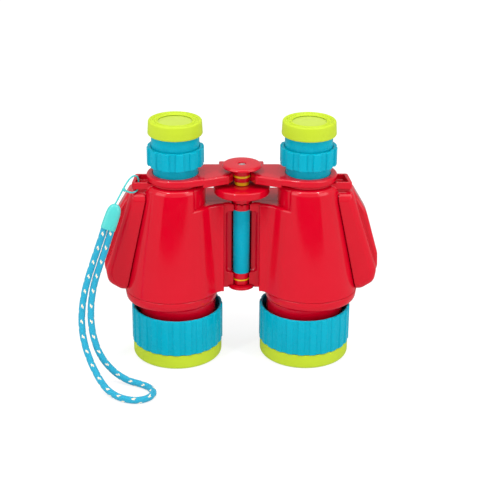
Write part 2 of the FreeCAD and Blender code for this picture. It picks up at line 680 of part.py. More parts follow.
def toothed_ring(outer, bore, bottom, top, tooth_face):
    """Ring with a wavy crown of click teeth on its lower (-1) or upper (1) face."""
    ring = cylinder(outer, bottom, top).cut(cylinder(bore, bottom - top, 2 * top))
    count = int(size("tooth_count"))
    height = size("tooth_height")
    width = math.pi * outer / count
    face = bottom if tooth_face < 0 else top
    cuts = []
    for index in range(count):
        notch = Part.makeCylinder(width / 2, 2 * outer, Vector(0, 0, face + tooth_face * (width / 2 - height)),
                                  Vector(1, 0, 0))
        notch.rotate(Vector(0, 0, 0), Vector(0, 0, 1), 360.0 * index / count)
        cuts.append(notch)
    return ring.cut(cuts).removeSplitter()


def head_screw(up, head_bottom):
    """Screw on the hinge axis, with its head down (-1) or up (1) and a slot across it."""
    head_height = size("screw_head_height")
    shank = size("screw_length")
    radius = size("screw_head_radius")
    if up > 0:
        head = cylinder(radius, head_bottom, head_bottom + head_height)
        stem = cylinder(size("screw_shank_radius"), head_bottom - shank, head_bottom)
        slot_bottom = head_bottom + head_height - size("screw_slot_depth")
    else:
        head = cylinder(radius, head_bottom, head_bottom + head_height)
        stem = cylinder(size("screw_shank_radius"), head_bottom + head_height,
                        head_bottom + head_height + shank)
        slot_bottom = head_bottom
    slots = []
    for size_x, size_y in ((2 * radius, size("screw_slot_width")), (size("screw_slot_width"), 2 * radius)):
        slots.append(Part.makeBox(size_x, size_y, size("screw_slot_depth"),
                                  Vector(-size_x / 2, -size_y / 2, slot_bottom)))
    reach = cylinder(size("screw_slot_share") * radius, slot_bottom, slot_bottom + size("screw_slot_depth"))
    return head.fuse(stem).cut(slots[0].fuse(slots[1]).common(reach)).removeSplitter()


# Pieces of each half

RING_RADIUS = "(neck_radius + ring_stand)"
RING_INNER = "(%s - ring_wall)" % RING_RADIUS
NECK_BORE = "(neck_radius - neck_wall)"
STEM_TOP = "(%s + base_stem_height)" % SHOULDER
EYE_TUBE_BOTTOM = "(%s + eye_tube_start)" % SHOULDER
EYE_TUBE_BORE = "(base_stem_radius + turn_gap)"
CUP_FACE = "(%s - cup_ridge_height)" % CUP_TOP
LENS_TOP = "(%s - eye_lens_cover)" % CUP_FACE
LENS_BOTTOM = "(%s - eye_lens_thickness)" % LENS_TOP
SLEEVE_FOOT = "(%s + cup_sleeve_gap)" % STEM_TOP
EYE_LENS_BORE = "(eye_lens_radius + fit_gap)"

for side, way in SIDES:
    axis = "%d * barrel_offset" % way
    lead = "left_extension" if side == "left" else "0"
    mirror_normal = Vector(1, 0, 0)

    end_ring = turned(side + "_end_ring", [
        ("end_ring_opening", "0"), ("end_ring_radius", "0"), ("end_ring_radius", "end_ring_height"),
        ("neck_radius + fit_gap", "end_ring_height"), ("neck_radius + fit_gap", "end_ring_floor"),
        ("end_ring_opening", "end_ring_floor")],
        rounds=[("end_ring_radius", "0", "end_ring_round")])
    place(end_ring, axis)
    keep(end_ring, side + "_end_ring")

    ring = turned(side + "_objective_ring", [
        ("neck_radius + turn_gap", RING_BOTTOM), (RING_RADIUS, RING_BOTTOM), (RING_RADIUS, RING_TOP),
        (RING_INNER, RING_TOP), (RING_INNER, RING_BOTTOM + " + ring_land"),
        ("neck_radius + turn_gap", RING_BOTTOM + " + ring_land")],
        rounds=[(RING_RADIUS, RING_TOP, "ring_round"), (RING_INNER, RING_TOP, "ring_round")])
    fluted(ring, side + "_objective_ring", RING_RADIUS, "ring_height", RING_BOTTOM,
           "ring_flute_radius", "ring_flute_depth", "ring_flute_count")
    place(ring, axis)
    keep(ring, side + "_objective_ring")

    mount = mount_form()
    formed(side + "_objective_mount", mount if way > 0 else mount.mirror(Vector(0, 0, 0), mirror_normal))

    lens_bottom = "(lens_seat_height - lens_thickness - fit_gap)"
    lens = bulged_disc(side + "_objective_lens", "(%s - fit_gap)" % NECK_BORE, "lens_thickness",
                       "lens_bulge", lens_bottom)
    place(lens, axis)
    keep(lens, side + "_objective_lens")

    retainer_top = "(%s + lens_bulge - fit_gap)" % lens_bottom
    retainer_bottom = "(%s - retainer_height)" % retainer_top
    retainer = turned(side + "_lens_retainer", [
        ("%s - retainer_width" % NECK_BORE, retainer_bottom), ("%s - fit_gap" % NECK_BORE, retainer_bottom),
        ("%s - fit_gap" % NECK_BORE, retainer_top),
        ("%s - retainer_width" % NECK_BORE, "%s - lens_bulge / 2" % retainer_top)])
    place(retainer, axis)
    keep(retainer, side + "_lens_retainer")

    knuckle_bottom = size(LOW_KNUCKLE) if side == "right" else size(HIGH_KNUCKLE)
    knuckle_top = size(LOW_WASHER) - size("stack_gap") if side == "right" else size(SLEEVE_BOTTOM)
    front, rear, screws = half_shells(knuckle_bottom, knuckle_top)
    arm = arm_form(side == "left")
    for label, shape in (("_front_shell", front), ("_rear_shell", rear), ("_shell_screws", screws),
                         ("_bridge_arm", arm)):
        formed(side + label, shape if way > 0 else shape.mirror(Vector(0, 0, 0), mirror_normal))

    base = turned(side + "_eyepiece_base", [
        ("base_bore", "%s - body_wall - base_flange_height - fit_gap" % BODY_TOP),
        ("base_flange_radius", "%s - body_wall - base_flange_height - fit_gap" % BODY_TOP),
        ("base_flange_radius", "%s - body_wall - fit_gap" % BODY_TOP),
        ("base_radius", "%s - body_wall - fit_gap" % BODY_TOP), ("base_radius", SHOULDER),
        ("base_stem_radius", SHOULDER), ("base_stem_radius", STEM_TOP), ("base_bore", STEM_TOP)])
    place(base, axis)
    keep(base, side + "_eyepiece_base")

    eye_ring = turned(side + "_eyepiece_ring", [
        (EYE_TUBE_BORE, EYE_RING_BOTTOM), ("eye_ring_radius", EYE_RING_BOTTOM), ("eye_ring_radius", EYE_RING_TOP),
        ("eye_tube_radius + turn_gap", EYE_RING_TOP),
        ("eye_tube_radius + turn_gap", EYE_RING_BOTTOM + " + eye_ring_floor"),
        (EYE_TUBE_BORE, EYE_RING_BOTTOM + " + eye_ring_floor")],
        rounds=[("eye_ring_radius", EYE_RING_TOP, "eye_ring_round"),
                ("eye_ring_radius", EYE_RING_BOTTOM, "eye_ring_round")])
    fluted(eye_ring, side + "_eyepiece_ring", "eye_ring_radius", "eye_ring_height", EYE_RING_BOTTOM,
           "eye_ring_flute_radius", "eye_ring_flute_depth", "eye_ring_flute_count")
    place(eye_ring, axis)
    keep(eye_ring, side + "_eyepiece_ring")

    tube = turned(side + "_eyepiece_tube", [
        (EYE_TUBE_BORE, EYE_TUBE_BOTTOM), ("eye_tube_radius", EYE_TUBE_BOTTOM), ("eye_tube_radius", TUBE_TOP),
        (EYE_TUBE_BORE, TUBE_TOP)])
    place(tube, axis, lead)
    keep(tube, side + "_eyepiece_tube")

    eye_lens = bulged_disc(side + "_eyepiece_lens", "eye_lens_radius", "eye_lens_thickness", "eye_lens_bulge",
                           LENS_BOTTOM)
    place(eye_lens, axis, lead)
    keep(eye_lens, side + "_eyepiece_lens")

    cup = turned(side + "_eyecup", [
        ("eye_tube_radius + fit_gap", CUP_BOTTOM), ("cup_radius", CUP_BOTTOM), ("cup_radius - cup_taper", CUP_TOP),
        ("cup_ridge_radius", CUP_TOP), ("cup_ridge_radius - cup_ridge_width", CUP_FACE),
        ("cup_inner_ridge_radius", CUP_FACE), ("cup_inner_ridge_radius - cup_ridge_width", CUP_TOP),
        ("cup_opening", CUP_FACE), ("cup_opening", "%s + fit_gap" % LENS_TOP),
        (EYE_LENS_BORE, "%s + fit_gap" % LENS_TOP), (EYE_LENS_BORE, SLEEVE_FOOT),
        (EYE_TUBE_BORE + " - fit_gap", SLEEVE_FOOT), (EYE_TUBE_BORE + " - fit_gap", "%s + fit_gap" % TUBE_TOP),
        ("eye_tube_radius + fit_gap", "%s + fit_gap" % TUBE_TOP)],
        rounds=[("cup_radius - cup_taper", CUP_TOP, "cup_round"), ("cup_radius", CUP_BOTTOM, "cup_round")])
    place(cup, axis, lead)
    keep(cup, side + "_eyecup")

# Hinge stack, from the floor up

cap = turned("hinge_cap", [
    ("screw_recess_radius", CAP_BOTTOM), ("cap_radius", CAP_BOTTOM), ("cap_radius", CAP_TOP),
    ("screw_shank_radius + fit_gap", CAP_TOP),
    ("screw_shank_radius + fit_gap", CAP_BOTTOM + " + screw_head_height"),
    ("screw_recess_radius", CAP_BOTTOM + " + screw_head_height")],
    rounds=[("cap_radius", CAP_BOTTOM, "knob_round / 2")])
keep(cap, "hinge_cap")

SCREW_HOLE_DEPTH = "(screw_length - cap_thickness + 2 * screw_head_height)"
axle = turned("hinge_axle", [
    ("0", CAP_TOP + " + " + SCREW_HOLE_DEPTH), ("screw_shank_radius", CAP_TOP + " + " + SCREW_HOLE_DEPTH),
    ("screw_shank_radius", CAP_TOP), ("axle_radius", CAP_TOP), ("axle_radius", KNOB_BOTTOM),
    ("screw_shank_radius", KNOB_BOTTOM), ("screw_shank_radius", KNOB_BOTTOM + " - " + SCREW_HOLE_DEPTH),
    ("0", KNOB_BOTTOM + " - " + SCREW_HOLE_DEPTH)])
keep(axle, "hinge_axle")


def washer(label, radius, bottom, height):
    ring = turned(label, [
        ("axle_radius + fit_gap", bottom), (radius, bottom), (radius, "%s + %s" % (bottom, height)),
        ("axle_radius + fit_gap", "%s + %s" % (bottom, height))])
    return keep(ring, label)


washer("lower_hinge_washer", "washer_radius", LOW_WASHER, "low_washer_height")
washer("hinge_sleeve", "sleeve_radius", SLEEVE_BOTTOM, "(%s - %s)" % (CLICK_BOTTOM, SLEEVE_BOTTOM))
washer("middle_hinge_bush", "knuckle_radius", BUSH_BOTTOM, "top_bush_height")
washer("upper_hinge_washer", "washer_radius", TOP_WASHER, "top_washer_height")

formed("click_ring", toothed_ring(size("click_radius"), size("axle_radius + fit_gap"),
                                  size(CLICK_BOTTOM), size(CLICK_TOP), 1))

# Focus wheel: a disc on a hub whose lower edge carries the click teeth
wheel_disc = cylinder(size("wheel_radius"), size(WHEEL_BOTTOM), size(WHEEL_TOP))
wheel_disc = wheel_disc.makeFillet(size("wheel_round"), [edge for edge in wheel_disc.Edges
                                                         if len(edge.Vertexes) == 1 and edge.Closed])
wheel_bore = cylinder(size("axle_radius + turn_gap"), size(HUB_BOTTOM) - size("overrun"),
                      size(WHEEL_TOP) + size("overrun"))
hub = toothed_ring(size("hub_radius"), size("axle_radius + turn_gap"), size(HUB_BOTTOM), size(WHEEL_BOTTOM), -1)
formed("focus_wheel", wheel_disc.fuse(hub).cut(wheel_bore).removeSplitter())

knob = turned("hinge_knob", [
    ("screw_shank_radius + fit_gap", KNOB_BOTTOM), ("knob_radius", KNOB_BOTTOM), ("knob_radius", KNOB_TOP),
    ("screw_recess_radius", KNOB_TOP), ("screw_recess_radius", KNOB_TOP + " - screw_recess_depth"),
    ("screw_shank_radius + fit_gap", KNOB_TOP + " - screw_recess_depth")],
    rounds=[("knob_radius", KNOB_TOP, "knob_round"), ("knob_radius", KNOB_BOTTOM, "knob_round")])
keep(knob, "hinge_knob")

formed("knob_screw", head_screw(1, size(KNOB_TOP + " - screw_recess_depth")))
formed("cap_screw", head_screw(-1, size(CAP_BOTTOM)))

# Wrist strap, hitched to the left lug. Points of the two routes, in millimetres.

STRING_ROUTE = [
    (-68.9, -13.2, 93.9), (-66.6, -12.2, 97.9), (-64.8, -11.3, 101.2), (-63.0, -10.4, 104.4),
    (-60.9, -8.8, 107.4), (-58.4, -6.6, 108.9), (-56.4, -4.6, 107.6), (-55.9, -3.5, 104.2),
    (-56.0, -4.0, 100.9), (-57.2, -6.3, 99.5), (-59.3, -8.9, 99.7), (-61.8, -10.6, 101.0),
    (-63.6, -11.4, 102.6),
]
STRAP_ROUTE = [
    (-74.0, -15.8, 83.0), (-77.7, -17.2, 72.2), (-81.4, -19.4, 61.8), (-84.6, -22.4, 52.2),
    (-86.8, -26.0, 42.4), (-87.5, -29.9, 32.6), (-86.3, -34.4, 23.6), (-83.2, -39.6, 15.6),
    (-79.0, -45.6, 9.0), (-74.2, -51.4, 3.9), (-68.6, -56.6, 2.0), (-62.6, -60.8, 2.0),
    (-56.2, -62.2, 2.0), (-50.4, -59.6, 2.0), (-47.6, -54.4, 2.0), (-49.6, -48.8, 2.0),
    (-54.4, -44.6, 2.0), (-60.8, -41.9, 2.2), (-66.8, -39.8, 4.4), (-72.6, -38.6, 9.4),
    (-77.4, -37.4, 16.2), (-80.6, -34.4, 24.0), (-82.3, -30.4, 32.6), (-82.3, -26.2, 41.6),
    (-80.7, -22.2, 51.2), (-77.5, -19.2, 60.8), (-73.9, -17.2, 70.8), (-70.4, -15.8, 81.7),
]


def cord_tube(route, radius, label):
    """Round tube along straight runs joined by tangent arcs."""
    spots = [Vector(*spot) for spot in route]
    runs = [(end - start).Length for start, end in zip(spots, spots[1:])]
    edges = []
    radii = []
    last = spots[0]
    for index in range(1, len(spots) - 1):
        before = (spots[index] - spots[index - 1]).normalize()
        after = (spots[index + 1] - spots[index]).normalize()
        turn = before.getAngle(after)
        reach = 0.45 * min(runs[index - 1], runs[index])
        radii.append(reach / math.tan(turn / 2))
        start = spots[index] - before * reach
        end = spots[index] + after * reach
        inward = (after - before).normalize()
        centre = spots[index] + inward * (radii[-1] / math.cos(turn / 2))
        crown = centre - inward * radii[-1]
        edges.append(Part.LineSegment(last, start).toShape())
        edges.append(Part.Arc(start, crown, end).toShape())
        last = end
    edges.append(Part.LineSegment(last, spots[-1]).toShape())
    path = Part.Wire(edges)
    section = Part.Wire(Part.Circle(spots[0], spots[1] - spots[0], radius).toShape())
    tube = path.makePipeShell([section], True, False)
    print(label, "length %.1f, least radius %.1f, longest run %.1f, volume over section times length %.4f" % (
        path.Length, min(radii), max(runs), tube.Volume / (math.pi * radius ** 2 * path.Length)))
    return tube


string_tube = cord_tube(STRING_ROUTE, size("string_radius"), "strap_string")
formed("strap_string", string_tube)
strap_tube = cord_tube(STRAP_ROUTE, size("strap_radius"), "strap_cord")
formed("strap_cord", strap_tube)

# Knot where the string crosses itself in front of the lug
knot = Part.makeSphere(size("knot_radius"), Vector(*STRING_ROUTE[-1]))
formed("strap_knot", knot.cut(string_tube))

# Ferrule: flat domed plug that the cord's two ends and the string go into
strap_ends = [Vector(*STRAP_ROUTE[0]), Vector(*STRAP_ROUTE[-1])]
ferrule_rise = Vector(*STRING_ROUTE[0]) - (strap_ends[0] + strap_ends[1]) * 0.5
across = (strap_ends[1] - strap_ends[0]).normalize()
ferrule_axis = (ferrule_rise - across * ferrule_rise.dot(across)).normalize()
facing = ferrule_axis.cross(across)
turn_to_place = FreeCAD.Matrix(across.x, facing.x, ferrule_axis.x, 0, across.y, facing.y, ferrule_axis.y, 0,
                               across.z, facing.z, ferrule_axis.z, 0, 0, 0, 0, 1)
# Shares of the ferrule's height and of its half width there
FERRULE_HEIGHT_SHARES = [0.0, 0.3, 0.62, 0.84, 0.96, 1.0]
FERRULE_WIDTH_SHARES = [1.0, 0.985, 0.95, 0.78, 0.46, 0.22]
ferrule_foot = (strap_ends[0] + strap_ends[1]) * 0.5 - ferrule_axis * size("ferrule_grip")
ferrule = skin([oval(0, 0, share * size("ferrule_height"), wide * size("ferrule_half_width"),
                     wide * size("ferrule_half_depth"))
                for share, wide in zip(FERRULE_HEIGHT_SHARES, FERRULE_WIDTH_SHARES)])
ferrule = ferrule.transformGeometry(turn_to_place)
ferrule.translate(ferrule_foot)
formed("strap_ferrule", ferrule.cut([strap_tube, string_tube]))

doc.recompute()


def check_document():
    """Stop if an object failed or a sub-part has no sound solid."""
    for thing in doc.Objects:
        if "Invalid" in thing.State or "Error" in thing.State:
            raise RuntimeError("%s failed: %s" % (thing.Label, thing.State))
    for thing in kept:
        if thing.Shape.isNull() or not thing.Shape.isValid() or not thing.Shape.Solids:
            raise RuntimeError("%s has no sound shape" % thing.Label)


check_document()
os.makedirs("parts", exist_ok=True)
for thing in kept:
    thing.Shape.exportStep("parts/%s.step" % thing.Label)
print(len(kept), "sub-parts written")
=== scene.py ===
import math

import bmesh
import bpy
import numpy as np
from mathutils import Matrix, Vector


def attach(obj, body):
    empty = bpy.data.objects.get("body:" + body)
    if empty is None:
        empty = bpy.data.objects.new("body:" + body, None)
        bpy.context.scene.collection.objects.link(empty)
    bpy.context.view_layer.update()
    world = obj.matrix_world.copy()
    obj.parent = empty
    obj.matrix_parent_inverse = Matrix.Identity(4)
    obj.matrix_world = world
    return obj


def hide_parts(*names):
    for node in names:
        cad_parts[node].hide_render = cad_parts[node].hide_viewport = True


# Toy binoculars standing on their objective ends. Lengths in this file are in millimetres in the
# part's frame, and are turned into metres where a mesh, lamp or camera is made.

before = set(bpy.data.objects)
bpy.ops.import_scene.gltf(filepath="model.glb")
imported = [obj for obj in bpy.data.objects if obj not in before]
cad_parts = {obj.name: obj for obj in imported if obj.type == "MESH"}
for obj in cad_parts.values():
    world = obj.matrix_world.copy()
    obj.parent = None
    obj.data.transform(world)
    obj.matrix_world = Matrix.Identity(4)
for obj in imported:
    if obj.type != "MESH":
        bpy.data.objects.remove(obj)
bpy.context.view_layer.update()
MM = 0.001
SIDES = [("left", -1), ("right", 1)]
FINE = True
SHARP_EDGE = math.radians(50)


# Camera, as fitted to the photograph

CAMERA_DISTANCE = 755.0
CAMERA_TARGET = Vector((-0.78, 0.0, 68.0))
CAMERA_ELEVATION = math.radians(23.45)
CAMERA_AZIMUTH = math.radians(-1.4)
CAMERA_ROLL = math.radians(0.41)
CAMERA_LENS = 102.0
CAMERA_SENSOR = 36.0


def make_camera():
    """Camera at the photograph's place, angle and roll."""
    back = Vector((math.sin(CAMERA_AZIMUTH) * math.cos(CAMERA_ELEVATION),
                   -math.cos(CAMERA_AZIMUTH) * math.cos(CAMERA_ELEVATION), math.sin(CAMERA_ELEVATION)))
    level = Vector((math.cos(CAMERA_AZIMUTH), math.sin(CAMERA_AZIMUTH), 0.0))
    rise = back.cross(level)
    right = level * math.cos(CAMERA_ROLL) + rise * math.sin(CAMERA_ROLL)
    up = rise * math.cos(CAMERA_ROLL) - level * math.sin(CAMERA_ROLL)
    camera = bpy.data.objects.new("camera", bpy.data.cameras.new("camera"))
    camera.data.lens = CAMERA_LENS
    camera.data.sensor_width = CAMERA_SENSOR
    turn = Matrix((right, up, back)).transposed().to_4x4()
    camera.matrix_world = Matrix.Translation((CAMERA_TARGET + back * CAMERA_DISTANCE) * MM) @ turn
    bpy.context.scene.collection.objects.link(camera)
    bpy.context.scene.camera = camera


make_camera()


# Making meshes

def make_mesh(name, points, faces, normals=None, mirrored=False):
    """A mesh object from points in millimetres. Mirrored swaps it to the other side of the hinge."""
    points = np.array(points, float)
    faces = [list(face) for face in faces]
    if mirrored:
        points = points * (-1, 1, 1)
        faces = [face[::-1] for face in faces]
        if normals is not None:
            normals = normals * (-1, 1, 1)
    mesh = bpy.data.meshes.new(name)
    mesh.from_pydata((points * MM).tolist(), [], faces)
    mesh.update()
    mesh.polygons.foreach_set("use_smooth", [True] * len(faces))
    if normals is not None:
        mesh.normals_split_custom_set_from_vertices(normals.tolist())
    thing = bpy.data.objects.new(name, mesh)
    bpy.context.scene.collection.objects.link(thing)
    return thing


def dress(thing, body, slot, material, *nodes):
    """Finish a piece: its material, the body it rides on and the CAD nodes it stands for."""
    thing.data.materials.append(material)
    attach(thing, body)
    if nodes:
        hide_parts(*nodes)
    return thing


def rounded(corners, steps=6):
    """Points of a closed outline whose corners are given as (x, y, rounding)."""
    points = []
    count = len(corners)
    for index, (x, y, turn) in enumerate(corners):
        if turn <= 0:
            points.append((x, y))
            continue
        here = Vector((x, y))
        before = (Vector(corners[index - 1][:2]) - here).normalized()
        after = (Vector(corners[(index + 1) % count][:2]) - here).normalized()
        half = 0.5 * before.angle(after)
        reach = turn / math.tan(half)
        centre = here + (before + after).normalized() * (turn / math.sin(half))
        start = here + before * reach - centre
        end = here + after * reach - centre
        sweep = start.angle(end)
        for step in range(steps + 1):
            share = step / steps
            lean = (start * math.sin((1 - share) * sweep) + end * math.sin(share * sweep)) / math.sin(sweep)
            points.append(tuple(centre + lean))
    return points


def lathe(name, corners, shift=None, centre=0.0, segments=192, steps=6):
    """A piece turned about the upright line at x = centre. Its corners are (radius, height, rounding).

    shift(angle, radius, height) moves points in radius and height. The angle is in degrees from the
    front, growing towards +X. An outline that touches the axis begins and ends there.
    """
    outline = np.array(rounded(corners, steps))
    open_line = np.abs(outline[:, 0]).min() < 1e-6
    degrees = np.arange(segments) * 360.0 / segments
    radius = np.repeat(outline[None, :, 0], segments, axis=0)
    height = np.repeat(outline[None, :, 1], segments, axis=0)
    if shift is not None:
        out, up = shift(degrees[:, None], radius, height)
        radius, height = radius + out, height + up
    angle = np.radians(degrees[:, None] - 90.0)
    points = np.stack([centre + radius * np.cos(angle), radius * np.sin(angle), height], axis=-1)
    rows = len(outline)
    faces = []
    last = rows - 1 if open_line else rows
    for turn in range(segments):
        turned = (turn + 1) % segments
        for row in range(last):
            following = (row + 1) % rows
            faces.append((turn * rows + row, turned * rows + row,
                          turned * rows + following, turn * rows + following))
    thing = make_mesh(name, points.reshape(-1, 3), faces)
    tidy_mesh(thing)
    return thing


def tidy_mesh(thing):
    """Merge doubled points, point the faces outward and keep the hard edges hard."""
    work = bmesh.new()
    work.from_mesh(thing.data)
    bmesh.ops.remove_doubles(work, verts=work.verts, dist=1e-6)
    bmesh.ops.dissolve_degenerate(work, dist=1e-7, edges=work.edges)
    bmesh.ops.recalc_face_normals(work, faces=work.faces)
    for edge in work.edges:
        if len(edge.link_faces) == 2 and edge.calc_face_angle(0.0) > SHARP_EDGE:
            edge.smooth = False
    work.to_mesh(thing.data)
    work.free()


# Moulded forms are written as signed distances, negative inside, and skinned from them

# How much coarser the grids of a quick scene are
QUICK_STEP = 1.8


def smooth_min(a, b, blend):
    """The lower of two distances, with the joint between them filleted over blend."""
    share = np.maximum(blend - np.abs(a - b), 0) / blend
    return np.minimum(a, b) - share * share * blend / 4


def smooth_max(a, b, blend):
    """The higher of two distances, blended the same way."""
    return -smooth_min(-a, -b, blend)


def outline_distance(px, py, outline):
    """Signed distance in a plane to a closed outline, negative inside."""
    nearest = np.inf
    inside = False
    corners = np.array(outline, float)
    for (ax, ay), (bx, by) in zip(corners, np.roll(corners, -1, axis=0)):
        ex, ey = bx - ax, by - ay
        wx, wy = px - ax, py - ay
        along = np.clip((wx * ex + wy * ey) / (ex * ex + ey * ey), 0, 1)
        nearest = np.minimum(nearest, (wx - ex * along) ** 2 + (wy - ey * along) ** 2)
        if ey:
            inside = inside ^ (((ay > py) != (by > py)) & (px < ex * (py - ay) / ey + ax))
    return np.where(inside, -1.0, 1.0) * np.sqrt(nearest)


def slab(flat, level, low, high, turn):
    """Solid between two levels over a flat form, with its edges rounded."""
    a = flat + turn
    b = np.abs(level - (low + high) / 2) - (high - low) / 2 + turn
    return np.minimum(np.maximum(a, b), 0) + np.hypot(np.maximum(a, 0), np.maximum(b, 0)) - turn


def round_post(x, y, z, radius, low, high, turn, centre=0.0):
    """Upright round post with rounded edges, about the line at x = centre."""
    return slab(np.hypot(x - centre, y) - radius, z, low, high, turn)


def cell_points(values, axes):
    """One point in each grid cell that the surface passes: the mean of its crossings of the cell's edges."""
    size = [count - 1 for count in values.shape]
    total = np.zeros(size + [3])
    hits = np.zeros(size)
    offsets = [(i, j, k) for i in (0, 1) for j in (0, 1) for k in (0, 1)]
    grids = np.meshgrid(*[axis[:-1] for axis in axes], indexing="ij")
    step = axes[0][1] - axes[0][0]

    def corner(offset):
        return values[tuple(slice(o, o + s) for o, s in zip(offset, size))]

    for start in offsets:
        for way in range(3):
            if start[way]:
                continue
            end = tuple(o + (1 if axis == way else 0) for axis, o in enumerate(start))
            first, second = corner(start), corner(end)
            crossed = (first < 0) != (second < 0)
            share = np.where(crossed, first / np.where(crossed, first - second, 1), 0)
            for axis in range(3):
                place = grids[axis] + start[axis] * step
                if axis == way:
                    place = place + share * step
                total[..., axis] += np.where(crossed, place, 0)
            hits += crossed
    found = hits > 0
    return found, total[found] / hits[found][:, None]


def skin(name, field, low, high, step, mirrored=False, rounds=4):
    """Mesh of the surface where a field of (x, y, z) is zero, in a box.

    Each cell that the surface passes gets one point. The points are then drawn onto the surface.
    """
    if not FINE:
        step = step * QUICK_STEP
    axes = [np.arange(a - 1.5 * step, b + 2.5 * step, step) for a, b in zip(low, high)]
    x, y, z = axes[0][:, None, None], axes[1][None, :, None], axes[2][None, None, :]
    values = field(x, y, z) + np.zeros((len(axes[0]), len(axes[1]), len(axes[2])))
    found, points = cell_points(values, axes)

    # A grid edge that crosses the surface gives a face between the four cells round it
    number = np.full(found.shape, -1)
    number[found] = np.arange(len(points))
    inside = values < 0
    faces = []
    for way in range(3):
        after = np.roll(inside, -1, axis=way)
        crossed = inside != after
        index = np.array(np.nonzero(crossed)).T
        limit = np.array(values.shape) - 1
        others = [axis for axis in range(3) if axis != way]
        keep = (index[:, way] < limit[way])
        for axis in others:
            keep &= (index[:, axis] > 0) & (index[:, axis] < limit[axis])
        index = index[keep]
        ring = []
        for first, second in ((-1, -1), (0, -1), (0, 0), (-1, 0)):
            cell = index.copy()
            cell[:, others[0]] += first
            cell[:, others[1]] += second
            ring.append(number[tuple(cell.T)])
        quads = np.stack(ring, axis=1)
        outward = inside[tuple(index.T)]
        flip = outward if way != 1 else ~outward
        quads[~flip] = quads[~flip][:, ::-1]
        faces.append(quads)
    faces = np.concatenate(faces)

    def slope(spots, reach):
        parts = []
        for axis in range(3):
            ahead, behind = spots.copy(), spots.copy()
            ahead[:, axis] += reach
            behind[:, axis] -= reach
            parts.append((field(*ahead.T) - field(*behind.T)) / (2 * reach))
        return np.stack(parts, axis=1)

    for _ in range(rounds):
        lean = slope(points, 0.05)
        change = lean * (field(*points.T) / np.maximum((lean ** 2).sum(axis=1), 0.2))[:, None]
        points = points - np.clip(change, -0.4 * step, 0.4 * step)
    lean = slope(points, 0.12)
    normals = lean / np.maximum(np.linalg.norm(lean, axis=1), 1e-6)[:, None]
    return make_mesh(name, points, faces.tolist(), normals, mirrored)


# Materials. Every one is procedural, in object space.

def shader(name):
    """A new material with its node tree and its surface shader."""
    material = bpy.data.materials.new(name)
    material.use_nodes = True
    tree = material.node_tree
    return material, tree, tree.nodes["Principled BSDF"]


def add_node(tree, kind, **values):
    """A new node with some of its inputs or settings given."""
    made = tree.nodes.new(kind)
    for key, value in values.items():
        if key in made.inputs:
            made.inputs[key].default_value = value
        else:
            setattr(made, key, value)
    return made


def noise(tree, place, scale, detail=3.0, roughness=0.5):
    made = add_node(tree, "ShaderNodeTexNoise", Scale=scale, Detail=detail, Roughness=roughness)
    tree.links.new(place, made.inputs["Vector"])
    return made.outputs["Fac"]


def spread(tree, value, low, high, start=0.3, end=0.7):
    """Stretch a value's range from start to end over the range from low to high."""
    made = add_node(tree, "ShaderNodeMapRange")
    for key, number in (("From Min", start), ("From Max", end), ("To Min", low), ("To Max", high)):
        made.inputs[key].default_value = number
    tree.links.new(value, made.inputs["Value"])
    return made.outputs["Result"]


def blend_colour(tree, factor, first, second):
    """Mix two colours by a value from 0 to 1."""
    made = add_node(tree, "ShaderNodeMix", data_type="RGBA")
    colours = {"A": (*first, 1), "B": (*second, 1)}
    for socket in made.inputs:
        if socket.type == "RGBA":
            socket.default_value = colours[socket.name]
    tree.links.new(factor, made.inputs[0])
    return [out for out in made.outputs if out.type == "RGBA"][0]


def plastic(name, colour, shade, gloss, grain, specular=0.5):
    """Moulded plastic: faint clouding of the colour, uneven gloss, and a fine skin.

    gloss: roughness of the shiniest and the dullest places.
    grain: depth of the skin's bumps, in metres.
    """
    material, tree, surface = shader(name)
    place = add_node(tree, "ShaderNodeTexCoord").outputs["Object"]
    cloud = noise(tree, place, 45.0, 4.0)
    clouded = blend_colour(tree, spread(tree, cloud, 0, 1), colour, shade)
    tree.links.new(clouded, surface.inputs["Base Color"])
    patches = noise(tree, place, 160.0, 5.0, 0.6)
    tree.links.new(spread(tree, patches, gloss[0], gloss[1]), surface.inputs["Roughness"])
    surface.inputs["IOR"].default_value = 1.5
    surface.inputs["Specular IOR Level"].default_value = specular
    fine = noise(tree, place, 900.0, 2.0)
    wide = noise(tree, place, 60.0, 1.0)
    both = add_node(tree, "ShaderNodeMath", operation="MULTIPLY_ADD")
    tree.links.new(wide, both.inputs[0])
    both.inputs[1].default_value = 2.5
    tree.links.new(fine, both.inputs[2])
    bump = add_node(tree, "ShaderNodeBump", Strength=1.0, Distance=grain)
    tree.links.new(both.outputs[0], bump.inputs["Height"])
    tree.links.new(bump.outputs["Normal"], surface.inputs["Normal"])
    return material


def metal(name, colour, roughness):
    """Plated steel with fine uneven brushing."""
    material, tree, surface = shader(name)
    place = add_node(tree, "ShaderNodeTexCoord").outputs["Object"]
    brushed = noise(tree, place, 1500.0, 4.0)
    surface.inputs["Metallic"].default_value = 1.0
    darker = tuple(0.8 * value for value in colour)
    streaked = blend_colour(tree, spread(tree, brushed, 0, 1), colour, darker)
    tree.links.new(streaked, surface.inputs["Base Color"])
    tree.links.new(spread(tree, brushed, roughness - 0.05, roughness + 0.08), surface.inputs["Roughness"])
    return material


def clear_lens(name):
    """Clear plastic with a little dust on it."""
    material, tree, surface = shader(name)
    place = add_node(tree, "ShaderNodeTexCoord").outputs["Object"]
    surface.inputs["Base Color"].default_value = (0.97, 0.99, 0.97, 1)
    surface.inputs["Transmission Weight"].default_value = 1.0
    surface.inputs["IOR"].default_value = 1.49
    dust = noise(tree, place, 400.0, 6.0, 0.7)
    tree.links.new(spread(tree, dust, 0.01, 0.08), surface.inputs["Roughness"])
    return material


